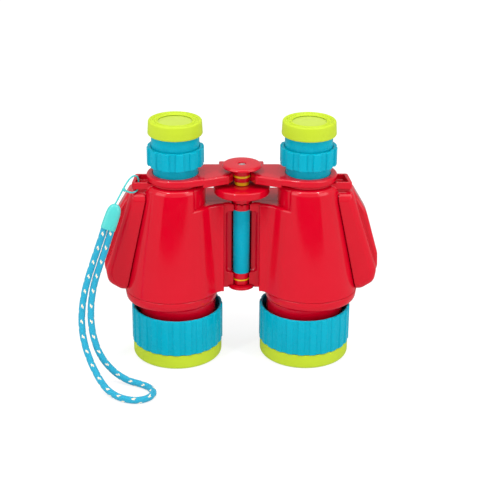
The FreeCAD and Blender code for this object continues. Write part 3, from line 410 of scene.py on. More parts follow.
def yarn(name, colour, dark):
    """Fibres of a cord: streaks of lighter and darker thread with a soft sheen."""
    material, tree, surface = shader(name)
    place = add_node(tree, "ShaderNodeTexCoord").outputs["Object"]
    threads = noise(tree, place, 2600.0, 3.0, 0.6)
    streaked = blend_colour(tree, spread(tree, threads, 0, 1), dark, colour)
    tree.links.new(streaked, surface.inputs["Base Color"])
    surface.inputs["Roughness"].default_value = 0.75
    surface.inputs["Sheen Weight"].default_value = 0.2
    surface.inputs["Sheen Roughness"].default_value = 0.5
    bump = add_node(tree, "ShaderNodeBump", Strength=0.6, Distance=0.00008)
    tree.links.new(threads, bump.inputs["Height"])
    tree.links.new(bump.outputs["Normal"], surface.inputs["Normal"])
    return material


RED = plastic("red_plastic", (0.575, 0.0, 0.014), (0.55, 0.0, 0.012), (0.08, 0.13), 0.000006)
BLUE = plastic("blue_plastic", (0.0, 0.36, 0.49), (0.0, 0.335, 0.46), (0.22, 0.32), 0.000010, 0.1)
LIME = plastic("lime_plastic", (0.47, 0.60, 0.020), (0.445, 0.57, 0.016), (0.42, 0.55), 0.000020, 0.25)
TURQUOISE = plastic("turquoise_plastic", (0.07, 0.53, 0.50), (0.06, 0.50, 0.47), (0.25, 0.34), 0.000010)
YELLOW = plastic("yellow_plastic", (0.75, 0.46, 0.005), (0.70, 0.42, 0.004), (0.18, 0.26), 0.000008)
STEEL = metal("steel", (0.86, 0.86, 0.87), 0.38)
LENS = clear_lens("lens")
EYE_LENS = plastic("frosted_lens", (0.46, 0.58, 0.07), (0.44, 0.55, 0.06), (0.30, 0.42), 0.000012, 0.25)
BRAID = yarn("blue_braid", (0.0, 0.38, 0.56), (0.0, 0.25, 0.40))
FLECK = yarn("cream_yarn", (0.90, 0.78, 0.60), (0.72, 0.60, 0.44))
STRING = yarn("turquoise_string", (0.05, 0.60, 0.58), (0.02, 0.42, 0.42))


# Wrist strap: the two routes of the source, in millimetres

STRING_ROUTE = [
    (-68.9, -13.2, 93.9), (-66.6, -12.2, 97.9), (-64.8, -11.3, 101.2), (-63.0, -10.4, 104.4),
    (-60.9, -8.8, 107.4), (-58.4, -6.6, 108.9), (-56.4, -4.6, 107.6), (-55.9, -3.5, 104.2),
    (-56.0, -4.0, 100.9), (-57.2, -6.3, 99.5), (-59.3, -8.9, 99.7), (-61.8, -10.6, 101.0),
    (-63.6, -11.4, 102.6),
]
STRAP_ROUTE = [
    (-74.0, -15.8, 83.0), (-77.7, -17.2, 72.2), (-81.4, -19.4, 61.8), (-84.6, -22.4, 52.2),
    (-86.8, -26.0, 42.4), (-87.5, -29.9, 32.6), (-86.3, -34.4, 23.6), (-83.2, -39.6, 15.6),
    (-79.0, -45.6, 9.0), (-74.2, -51.4, 3.9), (-68.6, -56.6, 2.0), (-62.6, -60.8, 2.0),
    (-56.2, -62.2, 2.0), (-50.4, -59.6, 2.0), (-47.6, -54.4, 2.0), (-49.6, -48.8, 2.0),
    (-54.4, -44.6, 2.0), (-60.8, -41.9, 2.2), (-66.8, -39.8, 4.4), (-72.6, -38.6, 9.4),
    (-77.4, -37.4, 16.2), (-80.6, -34.4, 24.0), (-82.3, -30.4, 32.6), (-82.3, -26.2, 41.6),
    (-80.7, -22.2, 51.2), (-77.5, -19.2, 60.8), (-73.9, -17.2, 70.8), (-70.4, -15.8, 81.7),
]


def route_line(name, route, resolution):
    """Points along the smooth NURBS line of a route, in metres."""
    curve = bpy.data.curves.new(name, "CURVE")
    curve.dimensions = "3D"
    spline = curve.splines.new("NURBS")
    spline.points.add(len(route) - 1)
    for point, spot in zip(spline.points, route):
        point.co = (*(value * MM for value in spot), 1.0)
    spline.order_u = 3
    spline.use_endpoint_u = True
    curve.resolution_u = resolution
    holder = bpy.data.objects.new(name, curve)
    bpy.context.scene.collection.objects.link(holder)
    bpy.context.view_layer.update()
    mesh = bpy.data.meshes.new_from_object(holder)
    line = np.array([vertex.co for vertex in mesh.vertices])
    bpy.data.objects.remove(holder)
    bpy.data.meshes.remove(mesh)
    bpy.data.curves.remove(curve)
    return line


def even_line(line, step):
    """The same line with points a set distance apart, and the distance run at each."""
    runs = np.concatenate([[0], np.cumsum(np.linalg.norm(np.diff(line, axis=0), axis=1))])
    count = max(int(runs[-1] / step), 8)
    wanted = np.linspace(0, runs[-1], count)
    return np.stack([np.interp(wanted, runs, line[:, axis]) for axis in range(3)], axis=1), wanted


def tube_along(name, line, step, around, relief, fleck=None):
    """A tube whose radius is relief(distance, angle), in metres, round a line, with closed ends.

    fleck(distance, angle) says which of its faces get the pale yarn.
    """
    spots, run = even_line(line, step)
    along = np.gradient(spots, axis=0)
    along /= np.linalg.norm(along, axis=1)[:, None]
    side = np.cross(along[0], (0, 0, 1))
    sides = []
    for tangent in along:
        side = side - tangent * side.dot(tangent)
        side = side / np.linalg.norm(side)
        sides.append(side)
    sides = np.array(sides)
    others = np.cross(along, sides)
    angle = np.linspace(0, 2 * math.pi, around, endpoint=False)
    radius = relief(run[:, None], angle[None, :])
    points = (spots[:, None, :] + radius[..., None] * (sides[:, None, :] * np.cos(angle)[None, :, None]
                                                      + others[:, None, :] * np.sin(angle)[None, :, None]))
    points = points.reshape(-1, 3)
    rows = np.arange(len(spots) - 1)[:, None] * around
    column = np.arange(around)[None, :]
    beside = (column + 1) % around
    faces = np.stack([rows + column, rows + beside, rows + around + beside, rows + around + column],
                     axis=-1).reshape(-1, 4).tolist()
    faces.append(list(range(around))[::-1])
    faces.append(list(range(len(points) - around, len(points))))
    thing = make_mesh(name, points / MM, faces)
    if fleck is not None:
        middle_run = (run[:-1] + run[1:]) / 2
        middle_angle = angle + math.pi / around
        marked = fleck(middle_run[:, None], middle_angle[None, :]).reshape(-1)
        thing.data.materials.append(BRAID)
        thing.data.materials.append(FLECK)
        chosen = np.concatenate([marked, [0, 0]]).astype(int)
        thing.data.polygons.foreach_set("material_index", chosen)
    return thing, spots


STRAP_RADIUS = 1.9 * MM
BRAID_COLUMNS = 16
BRAID_PITCH = 1.4 * MM
FLECK_TURN = 8.4 * MM
STRING_RADIUS = 0.45 * MM
STRING_TWIST = 7.0 * MM
STRING_PLY = 1.1 * MM


def braid_cell(run, angle):
    """Column, place across it from -1 to 1, and phase along it, of a herringbone braid."""
    column = angle * BRAID_COLUMNS / (2 * math.pi)
    number = np.floor(column)
    across = 2 * (column - number) - 1
    lean = np.where(number % 2 == 0, 1.0, -1.0)
    phase = run / BRAID_PITCH + 0.22 * lean * across + 0.5 * (number % 2)
    return number, across, phase


def braid_relief(run, angle):
    """Radius of the braided cord, with a small dome on every stitch."""
    _, across, phase = braid_cell(run, angle)
    stitch = np.sqrt(np.maximum(1 - across ** 2, 0)) * (0.55 + 0.45 * np.cos(2 * math.pi * phase))
    return STRAP_RADIUS * (0.925 + 0.075 * stitch)


def braid_fleck(run, angle):
    """Pale yarns that come to the surface two stitches at a time, four times round the cord."""
    number, across, phase = braid_cell(run, angle)
    start = np.floor(phase + 0.5) * BRAID_PITCH
    turn = (start / FLECK_TURN - np.floor(number / 4) / 4 + 0.01) % 1.0
    return (number % 4 < 2) & (turn < BRAID_PITCH / FLECK_TURN) & (np.abs(across) < 0.8)


def string_relief(run, angle):
    """Two fine strands laid side by side, turning slowly round each other."""
    twist = angle - run / STRING_TWIST * 2 * math.pi
    fine = 0.03 * np.cos(6 * (angle - run / STRING_PLY))
    return STRING_RADIUS * (0.84 + 0.16 * np.abs(np.cos(twist)) ** 0.7 + fine)


ROUTE_STEPS = 24
cord_step = (0.16 if FINE else 0.5) * MM
strap_line = route_line("strap_route", STRAP_ROUTE, ROUTE_STEPS)
strap, strap_path = tube_along("wrist_cord", strap_line, cord_step, 64 if FINE else 32, braid_relief,
                               braid_fleck)
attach(strap, "left_half")
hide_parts("strap_cord")

string_line = route_line("string_route", STRING_ROUTE, ROUTE_STEPS)
string, string_path = tube_along("wrist_string", string_line, 0.12 * MM, 24, string_relief)
dress(string, "left_half", "turquoise_string", STRING, "strap_string")


def knot_relief(x, y, z):
    """Two turns of string pulled tight over each other."""
    middle = np.array(STRING_ROUTE[-1])
    x, y, z = x - middle[0], y - middle[1], z - middle[2]
    ring_one = np.hypot(np.hypot(x, z * 1.1) - 0.62, y) - 0.42
    ring_two = np.hypot(np.hypot(y, z * 0.9 + x * 0.5) - 0.6, x * 0.8 - 0.1) - 0.42
    core = np.sqrt(x * x + y * y + z * z) - 0.75
    return smooth_min(smooth_min(ring_one, ring_two, 0.12), core, 0.15)


KNOT_REACH = 1.3
knot_middle = STRING_ROUTE[-1]
knot = skin("string_knot", knot_relief, [value - KNOT_REACH for value in knot_middle],
            [value + KNOT_REACH for value in knot_middle], 0.12)
dress(knot, "left_half", "turquoise_string", STRING, "strap_knot")


# Ferrule: flat domed plug, squared a little, between the cord's ends and the string.
# Its profile is (share of the height, share of the half width) from foot to crown.

FERRULE_PROFILE = [(0.0, 0.955), (0.012, 0.985), (0.03, 1.0), (0.30, 0.99), (0.60, 0.965), (0.72, 0.925),
                   (0.82, 0.83), (0.90, 0.69), (0.955, 0.52), (0.985, 0.34), (1.0, 0.12)]
FERRULE_HEIGHT = 14.5
FERRULE_HALF_WIDTH = 4.1
FERRULE_HALF_DEPTH = 2.5
FERRULE_GRIP = 1.0
FERRULE_SQUARED = 0.86


def make_ferrule():
    """The ferrule stands on both ends of the braided cord and points to the string."""
    first, last = Vector(STRAP_ROUTE[0]), Vector(STRAP_ROUTE[-1])
    across = (last - first).normalized()
    rise = Vector(STRING_ROUTE[0]) - (first + last) / 2
    axis = (rise - across * rise.dot(across)).normalized()
    facing = axis.cross(across)
    foot = (first + last) / 2 - axis * FERRULE_GRIP
    around = 64
    points = []
    for height, share in [(0.0, 0.0), (0.0, 0.80)] + FERRULE_PROFILE + [(1.0, 0.0)]:
        for index in range(around):
            angle = 2 * math.pi * index / around
            wide = math.copysign(abs(math.cos(angle)) ** FERRULE_SQUARED, math.cos(angle))
            deep = math.copysign(abs(math.sin(angle)) ** FERRULE_SQUARED, math.sin(angle))
            spot = (foot + axis * (height * FERRULE_HEIGHT) + across * (wide * share * FERRULE_HALF_WIDTH)
                    + facing * (deep * share * FERRULE_HALF_DEPTH))
            points.append(tuple(spot))
    rows = len(points) // around
    faces = []
    for row in range(rows - 1):
        for index in range(around):
            beside = (index + 1) % around
            faces.append((row * around + index, row * around + beside, (row + 1) * around + beside,
                          (row + 1) * around + index))
    thing = make_mesh("cord_ferrule", points, faces)
    tidy_mesh(thing)
    return dress(thing, "left_half", "turquoise_plastic", TURQUOISE, "strap_ferrule")


ferrule = make_ferrule()


# Body shells, on the +X side. Heights over the floor.

OFFSET = 36.0
SEAM = 40.3
BODY_TOP = 103.0
SHELF = 91.3
# A pair of sizes holds at the foot and at the top
BARREL_LENGTH = (26.0, 16.5)
BARREL_DEPTH = (24.5, 16.5)
BARREL_SHIFT = (3.0, 0.0)
WEB_FRONT = (9.0, 4.75)
WEB_REAR = (20.0, 19.5)
WEB_END = (23.5, 24.5)
LEAN_REACH = (1.076, -5.02)
LEAN_X, LEAN_Y = 0.62, 0.785
WEB_FOOT = 41.1
WALL_FOOT = 40.35
WALL_X = 9.7
REAR_FLAT = 16.0
REAR_SLANT_X, REAR_SLANT_Y = 0.866, 0.5
# Between these heights the web flares out to the rear and to the barrel
FLARE = (85.5, 90.5)
FLARE_REAR = 2.0
FLARE_SIDE = 8.0
CHANNEL_FRONT = 3.5
POCKET_X = 8.6
CHANNEL_BACK = -0.5
BORE_RADIUS = 5.4
CAP_ROOM = 7.75
NOTCH_END = 25.5
NOTCH_RADIUS = 16.35
COLLAR = 15.8
COLLAR_BOTTOM = 104.5
FRONT_WING = [(44.0, 98.8, 0), (60.5, 98.8, 2.5), (75.2, 52.5, 8.0), (74.0, 45.6, 6.0), (67.0, 41.2, 6.0),
              (44.0, 41.3, 0)]
MAIN_WING = [(44.0, 98.5, 0), (61.2, 98.5, 2.5), (69.0, 85.0, 20.0), (75.9, 60.5, 8.0), (76.2, 53.0, 8.0),
             (74.2, 45.8, 7.0), (67.0, 41.2, 6.0), (44.0, 41.3, 0)]
FRONT_OUTLINE = rounded(FRONT_WING)
MAIN_OUTLINE = rounded(MAIN_WING)
LUG_OUTLINE = rounded([(44.0, -7.3, 0), (59.7, -7.3, 1.1), (58.3, 7.3, 1.6), (44.0, 7.3, 0)])
SLOT_OUTLINE = rounded([(51.9, -5.8, 0.6), (57.8, -5.8, 0.6), (56.1, 5.8, 0.6), (50.2, 5.8, 0.6)])
LUG_POST = rounded([(44.0, 101.5, 0), (58.6, 101.5, 0.6), (60.2, 96.0, 1.0), (44.0, 96.0, 0)])
MAIN_WING_DEPTH = (-3.0, 9.5)
FRONT_WING_DEPTH = (-9.5, 3.6)
LUG_POST_DEPTH = (-5.4, 6.2)
LUG_HEIGHT = (100.9, 104.8)
GROOVE_MIDDLE = 0.3
GROOVE_HALF = 0.35
GROOVE_START = 7.0
PARTING_GAP = 0.03
FACE_GAP = 0.3
RUNNING_GAP = 0.06
BASE_RADIUS = 12.26
SHELL_WALL = 2.0
LOW_KNUCKLES = {"right": (42.0, 44.7), "left": (45.6, 49.2)}
SLEEVE = (49.2, 87.0)


def between(ends, share):
    """The value a share of the way from the first end to the second."""
    return ends[0] + (ends[1] - ends[0]) * share


def barrel(x, y, z):
    """Barrel from its oval foot to its round top, without its ends."""
    share = (z - SEAM) / (BODY_TOP - SEAM)
    length = between(BARREL_LENGTH, share)
    depth = between(BARREL_DEPTH, share)
    middle = OFFSET + between(BARREL_SHIFT, share)
    return (np.sqrt(((x - middle) / length) ** 2 + (y / depth) ** 2) - 1) * np.minimum(length, depth)


def web(x, y, z):
    """Web between the barrel and the hinge, with the channel for the sleeve. Its top is cut off later."""
    share = (z - WEB_FOOT) / (SHELF - WEB_FOOT)
    level = -y - between(WEB_FRONT, share)
    lean = -LEAN_X * x - LEAN_Y * y - between(LEAN_REACH, share)
    flat = smooth_min(level, lean, 3.5)
    flat = smooth_max(flat, WALL_X - x, 0.7)
    block = np.maximum(-y - CHANNEL_FRONT, x - WALL_X - 1.5)
    flat = smooth_min(flat, block, 0.3)
    flare = np.clip((z - FLARE[0]) / (FLARE[1] - FLARE[0]), 0, 1)
    rear = between(WEB_REAR, share) + FLARE_REAR * flare
    past_flat = x - REAR_FLAT - FLARE_SIDE * flare
    corner = REAR_SLANT_X * past_flat + REAR_SLANT_Y * (y - rear)
    back = np.maximum(y - rear, corner)
    flat = smooth_max(smooth_max(flat, back, 1.5), x - between(WEB_END, share), 4.5)
    foot = between((WEB_FOOT, WALL_FOOT), np.clip(WALL_X + 1 - x, 0, 1))
    flat = smooth_max(flat, foot - z, 1.2)
    pocket = smooth_max(np.abs(x) - POCKET_X, y - CHANNEL_BACK, 2.5)
    flat = smooth_max(flat, -slab(pocket, z, SLEEVE[0] + 0.4, SLEEVE[1] - 0.3, 2.2), 0.5)
    flat = smooth_max(flat, BORE_RADIUS - np.hypot(x, y), 0.4)
    cap_room = np.maximum(np.hypot(x, y) - CAP_ROOM, z - LOW_KNUCKLES["right"][0])
    flat = smooth_max(flat, -cap_room, 0.4)
    return smooth_max(flat, FACE_GAP - x, 0.5)


def body_form(x, y, z):
    """Both shells of a half in one: barrel, web, wings and lug, hollow inside and open to the eyepiece."""
    tube = barrel(x, y, z)
    full = smooth_min(tube, web(x, y, z), 2.5)
    full = smooth_max(full, z - BODY_TOP, 3.2)
    notch = np.maximum(np.maximum(SHELF - z, x - NOTCH_END), NOTCH_RADIUS - np.hypot(x - OFFSET, y))
    full = smooth_max(full, -notch, 1.5)
    main = slab(outline_distance(x, z, MAIN_OUTLINE), y, *MAIN_WING_DEPTH, 2.2)
    front = slab(outline_distance(x, z, FRONT_OUTLINE), y, *FRONT_WING_DEPTH, 4.4)
    wing = smooth_min(main, front, 0.8)
    groove = np.maximum(np.abs(tube - GROOVE_MIDDLE) - GROOVE_HALF, GROOVE_START - np.abs(y))
    wing = smooth_max(wing, -groove, 0.5)
    post = slab(outline_distance(x, z, LUG_POST), y, *LUG_POST_DEPTH, 1.0)
    lug = slab(outline_distance(x, y, LUG_OUTLINE), z, *LUG_HEIGHT, 0.55)
    lug = smooth_max(lug, -outline_distance(x, y, SLOT_OUTLINE), 0.5)
    lug = smooth_max(lug, -np.maximum(np.hypot(x - OFFSET, y) - COLLAR - 0.3, COLLAR_BOTTOM - 0.4 - z), 0.3)
    side = smooth_min(smooth_min(wing, post, 1.2), lug, 0.8)
    full = smooth_min(full, side, 0.5)
    full = smooth_max(full, SEAM + 0.05 - z, 0.5)
    hollow = np.maximum(tube + SHELL_WALL, z - BODY_TOP + SHELL_WALL)
    eye_hole = np.maximum(np.hypot(x - OFFSET, y) - BASE_RADIUS - 0.1, BODY_TOP - 3 - z)
    return smooth_max(full, -np.minimum(hollow, eye_hole), 0.3)


SCREW_PLACES = [(13.65, 55.35), (13.65, 83.76), (64.5, 55.35), (57.45, 83.76)]
SCREW_SINK = 2.0
SCREW_HEAD_RADIUS = 2.0
KNUCKLE_RADIUS = 4.5
AXLE_RADIUS = 2.2


def rear_surface(x, z):
    """Where a line along Y through (x, z) comes out of the rear of the body."""
    reach = np.arange(0, 26, 0.02)
    inside = body_form(np.full(len(reach), x), reach, np.full(len(reach), z)) < 0
    return float(reach[inside].max())


SCREW_SEATS = [(x, z, rear_surface(x, z) - SCREW_SINK) for x, z in SCREW_PLACES]


def front_form(x, y, z):
    """Front shell, up to the parting line."""
    return smooth_max(body_form(x, y, z), y + PARTING_GAP, 0.25)


def rear_form(bottom, top):
    """Rear shell with its screw holes, its lower knuckle and the bracket that carries it."""
    def form(x, y, z):
        shell = smooth_max(body_form(x, y, z), PARTING_GAP - y, 0.25)
        for spot_x, spot_z, seat in SCREW_SEATS:
            hole = np.maximum(np.hypot(x - spot_x, z - spot_z) - SCREW_HEAD_RADIUS - 0.1, seat - 0.2 - y)
            shell = smooth_max(shell, -hole, 0.4)
        knuckle = round_post(x, y, z, KNUCKLE_RADIUS, bottom, top, 0.35)
        quarter = np.maximum(np.maximum(FACE_GAP - x, FACE_GAP - y), np.hypot(x, y) - BORE_RADIUS - 1)
        bracket = slab(quarter, z, bottom, top, 0.2)
        shell = smooth_min(shell, smooth_min(knuckle, bracket, 0.4), 0.4)
        return smooth_max(shell, AXLE_RADIUS + RUNNING_GAP - np.hypot(x, y), 0.3)
    return form


SHELL_STEP = 0.45
BODY_LOW, BODY_HIGH = (-5.0, -25.0, 40.0), (77.0, 25.0, 105.5)
for side, way in SIDES:
    body = side + "_half"
    front_shell = skin(side + "_shell_front", front_form, (0.0, BODY_LOW[1], BODY_LOW[2]),
                       (BODY_HIGH[0], 0.4, BODY_HIGH[2]), SHELL_STEP, mirrored=way < 0)
    dress(front_shell, body, "red_plastic", RED, side + "_front_shell")
    rear_shell = skin(side + "_shell_rear", rear_form(*LOW_KNUCKLES[side]),
                      (BODY_LOW[0], -KNUCKLE_RADIUS - 0.5, BODY_LOW[2]), BODY_HIGH, SHELL_STEP,
                      mirrored=way < 0)
    dress(rear_shell, body, "red_plastic", RED, side + "_rear_shell")


# Bridge arms

ARM_BOTTOM = 105.0
ARM_TOP = 108.5
SKIRT_BOTTOM = 103.4
ARM_OUTLINE = [(31.2, -15.05), (21.0, -12.4), (8.35, -6.9), (7.2, -6.9), (4.6, -1.2), (0.3, -0.2),
               (0.3, 17.0), (12.3, 17.0), (12.3, 12.3), (31.2, 12.3)]
SKIRT_OUTLINE = [(21.0, -12.4), (8.35, -6.9), (7.2, -6.9), (4.6, -1.2), (0.3, -0.2), (0.3, 17.0),
                 (12.3, 17.0), (12.3, 12.3), (21.0, 12.3)]
RIGHT_KNUCKLE = (103.5, 105.8)
LEFT_KNUCKLE = (107.15, 111.0)


def arm_form(knuckle, upper):
    """Bridge arm with its knuckle. The upper knuckle has room below it, the other one between its ends."""
    bottom, top = knuckle

    def form(x, y, z):
        disc = np.hypot(x - OFFSET, y) - COLLAR
        bottom_level = COLLAR_BOTTOM + 0.5 * np.clip((24.0 - x) / 6.0, 0, 1)
        plan = smooth_min(outline_distance(x, y, ARM_OUTLINE), disc, 1.5)
        plate = slab(plan, z, bottom_level, ARM_TOP, 1.25)
        skirt = slab(outline_distance(x, y, SKIRT_OUTLINE), z, SKIRT_BOTTOM, ARM_TOP, 0.8)
        foot = round_post(x, y, z, 14.0, BODY_TOP, ARM_BOTTOM + 1, 0.2, OFFSET)
        arm = smooth_min(smooth_min(plate, skirt, 0.4), foot, 0.5)
        room = np.hypot(x, y) - KNUCKLE_RADIUS - 0.3
        if upper:
            room = np.maximum(room, z - bottom)
        else:
            room = np.maximum(room, np.minimum(top - z, z - bottom))
        arm = smooth_max(arm, -room, 0.3)
        arm = smooth_min(arm, round_post(x, y, z, KNUCKLE_RADIUS, bottom, top, 0.25), 0.3)
        arm = smooth_max(arm, AXLE_RADIUS + RUNNING_GAP - np.hypot(x, y), 0.2)
        return smooth_max(arm, BASE_RADIUS + RUNNING_GAP - np.hypot(x - OFFSET, y), 0.5)
    return form


for side, way in SIDES:
    knuckle = LEFT_KNUCKLE if side == "left" else RIGHT_KNUCKLE
    arm = skin(side + "_arm", arm_form(knuckle, side == "left"), (-4.8, -16.0, 102.6), (52.0, 17.6, 111.3),
               0.32, mirrored=way < 0)
    dress(arm, side + "_half", "red_plastic", RED, side + "_bridge_arm")


# Turned pieces of each half

def lobes(outer, inner, depth, count, half_width, phase, ramp=1.8):
    """Broad flat-bottomed grooves between the lobes of a ring, which fade out towards its inner wall."""
    def shift(angle, radius, height):
        period = 360.0 / count
        off = np.abs((angle - phase + period / 2) % period - period / 2)
        groove = np.clip((half_width - off) / ramp, 0, 1)
        weight = np.clip((radius - inner) / (outer - inner), 0, 1)
        return -depth * groove * groove * (3 - 2 * groove) * weight, 0.0
    return shift


def oval_stack(name, rings, mirrored, around=192):
    """A closed skin through level rings given as (centre, half length, half depth, height)."""
    angle = np.linspace(0, 2 * math.pi, around, endpoint=False)
    points = []
    for centre, length, depth, height in rings:
        points.append(np.stack([centre + length * np.cos(angle), depth * np.sin(angle),
                                np.full(around, height)], axis=1))
    count = len(rings)
    faces = []
    for row in range(count):
        following = (row + 1) % count
        for index in range(around):
            beside = (index + 1) % around
            faces.append((row * around + index, row * around + beside,
                          following * around + beside, following * around + index))
    thing = make_mesh(name, np.concatenate(points), faces, mirrored=mirrored)
    tidy_mesh(thing)
    return thing


# Objective mount: band, neck, lens seat and bore, as rings for oval_stack
MOUNT_RINGS = [
    (38.6, 22.0, 21.0, 40.25), (39.0, 25.6, 24.1, 40.25), (39.0, 25.85, 24.35, 40.18),
    (39.0, 25.97, 24.47, 39.95), (39.0, 25.5, 24.0, 36.6), (39.0, 25.35, 23.85, 35.9),
    (39.0, 25.05, 23.55, 35.3), (39.0, 24.6, 23.1, 34.93), (39.0, 24.1, 22.6, 34.8),
    (37.0, 22.6, 22.2, 34.8), (36.1, 21.8, 21.8, 34.6), (36.0, 21.5, 21.5, 34.1),
    (36.0, 21.5, 21.5, 14.2), (36.0, 22.4, 22.4, 13.9), (36.0, 22.4, 22.4, 12.5),
    (36.0, 21.5, 21.5, 12.3), (36.0, 21.5, 21.5, 2.6), (36.0, 19.5, 19.5, 2.6),
    (36.0, 19.5, 19.5, 12.0), (36.0, 17.9, 17.9, 12.0), (36.0, 17.9, 17.9, 13.5),
    (36.0, 19.5, 19.5, 13.5), (36.0, 19.5, 19.5, 38.0)]

# Angles at which the first groove of each ring stands, and how far each eyepiece is turned out
EYE_RING_GROOVE = {"left": -4.7, "right": -0.5}
OBJECTIVE_GROOVE = {"left": 7.5, "right": 0.4}
TURNED_OUT = {"left": 0.4, "right": 0.0}
LENS_SHARES = (0.25, 0.5, 0.7, 0.85, 0.95, 1.0)


def lens_outline(radius, low, high, bulge):
    """Outline of a lens that is thickest in its middle, from its lower to its upper pole."""
    line = [(0.0, low, 0)]
    for share in LENS_SHARES:
        line.append((share * radius, low + bulge * share ** 2, 0))
    for share in LENS_SHARES[::-1]:
        line.append((share * radius, high - bulge * share ** 2, 0))
    return line + [(0.0, high, 0)]


for side, way in SIDES:
    body = side + "_half"
    flipped = way < 0
    centre = way * OFFSET

    end_ring = lathe(side + "_foot_ring", [
        (18.5, 0.0, 0.4), (25.0, 0.0, 1.9), (25.0, 8.5, 0.35), (21.55, 8.5, 0),
        (21.55, 2.5, 0), (18.5, 2.5, 0.3)],
        centre=centre)
    dress(end_ring, body, "lime_plastic", LIME, side + "_end_ring")

    ring = lathe(side + "_ribbed_ring", [
        (21.65, 8.8, 0.1), (25.54, 8.8, 0.35), (25.54, 29.8, 0.9), (23.64, 29.8, 0.9),
        (23.64, 12.0, 0.3), (21.65, 12.0, 0.2)],
        lobes(25.54, 24.2, 0.62, 24, 3.9, OBJECTIVE_GROOVE[side], 1.3),
        centre=centre, segments=720 if FINE else 240)
    dress(ring, side + "_objective_ring", "blue_plastic", BLUE, side + "_objective_ring")

    mount = oval_stack(side + "_band", MOUNT_RINGS, flipped)
    dress(mount, body, "red_plastic", RED, side + "_objective_mount")

    base = lathe(side + "_eyepiece_collar", [
        (9.6, 99.2, 0), (14.0, 99.2, 0), (14.0, 100.9, 0), (BASE_RADIUS, 100.9, 0),
        (BASE_RADIUS, 113.2, 0.5), (11.2, 113.2, 0), (11.2, 124.4, 0.3), (9.6, 124.4, 0.3)], centre=centre)
    dress(base, body, "blue_plastic", BLUE, side + "_eyepiece_base")

    eye_ring = lathe(side + "_scalloped_ring", [
        (11.36, 113.5, 0.2), (15.5, 113.5, 0.6), (15.5, 123.6, 0.7), (13.15, 123.6, 0.4),
        (13.15, 115.0, 0), (11.36, 115.0, 0.2)],
        lobes(15.5, 14.0, 0.95, 12, 7.8, EYE_RING_GROOVE[side]),
        centre=centre, segments=720 if FINE else 240, steps=8)
    dress(eye_ring, side + "_eyepiece_ring", "blue_plastic", BLUE, side + "_eyepiece_ring")

    out = TURNED_OUT[side]
    tube = lathe(side + "_sliding_tube", [
        (11.35, 115.8 + out, 0.2), (13.0, 115.8 + out, 0.2), (13.0, 134.9 + out, 0.3),
        (11.35, 134.9 + out, 0.2)],
        centre=centre)
    dress(tube, side + "_eyepiece", "blue_plastic", BLUE, side + "_eyepiece_tube")

    cup = lathe(side + "_cup", [
        (13.05, 130.0 + out, 0.1), (14.9, 130.0 + out, 0.9), (14.45, 138.1 + out, 1.15),
        (13.25, 138.1 + out, 0.3), (12.95, 137.7 + out, 0.15), (12.7, 138.0 + out, 0.2),
        (12.3, 138.0 + out, 0.2), (11.9, 137.4 + out, 0.2), (11.2, 137.4 + out, 0.2),
        (10.8, 137.95 + out, 0.2), (10.35, 137.95 + out, 0.2), (9.85, 137.4 + out, 0.2),
        (9.3, 137.4 + out, 0.1), (9.3, 137.2 + out, 0), (9.75, 137.2 + out, 0), (9.75, 126.0 + out, 0.2),
        (11.3, 126.0 + out, 0.2), (11.3, 134.95 + out, 0), (13.05, 134.95 + out, 0)],
        centre=centre, segments=256)
    dress(cup, side + "_eyepiece", "lime_plastic", LIME, side + "_eyecup")

    eye_lens = lathe(side + "_eye_lens", lens_outline(9.7, 134.55 + out, 137.15 + out, 0.3), centre=centre)
    dress(eye_lens, side + "_eyepiece", "lens", EYE_LENS, side + "_eyepiece_lens")
    front_lens = lathe(side + "_front_lens", lens_outline(19.45, 7.75, 11.95, 1.2), centre=centre)
    dress(front_lens, body, "lens", LENS, side + "_objective_lens")


# Hinge stack and focus wheel

TEETH = 10
AXLE_BORE = 2.25


def washer(radius, bottom, top, turn):
    """Outline of a plain ring on the axle."""
    return [(AXLE_BORE, bottom, 0), (radius, bottom, turn), (radius, top, turn), (AXLE_BORE, top, 0)]


def wheel_teeth(angle, radius, height):
    """Wavy crown on the lower edge of the wheel's hub."""
    wave = 0.5 - 0.5 * np.cos(np.radians(angle * TEETH))
    low = np.clip((91.7 - height) / 0.7, 0, 1)
    return 0.0, 0.45 * wave * low


def click_teeth(angle, radius, height):
    """The same wave on the upper edge of the click ring below it."""
    wave = 0.5 + 0.5 * np.cos(np.radians(angle * TEETH))
    high = np.clip((height - 90.0) / 0.7, 0, 1)
    return 0.0, -0.4 * wave * high


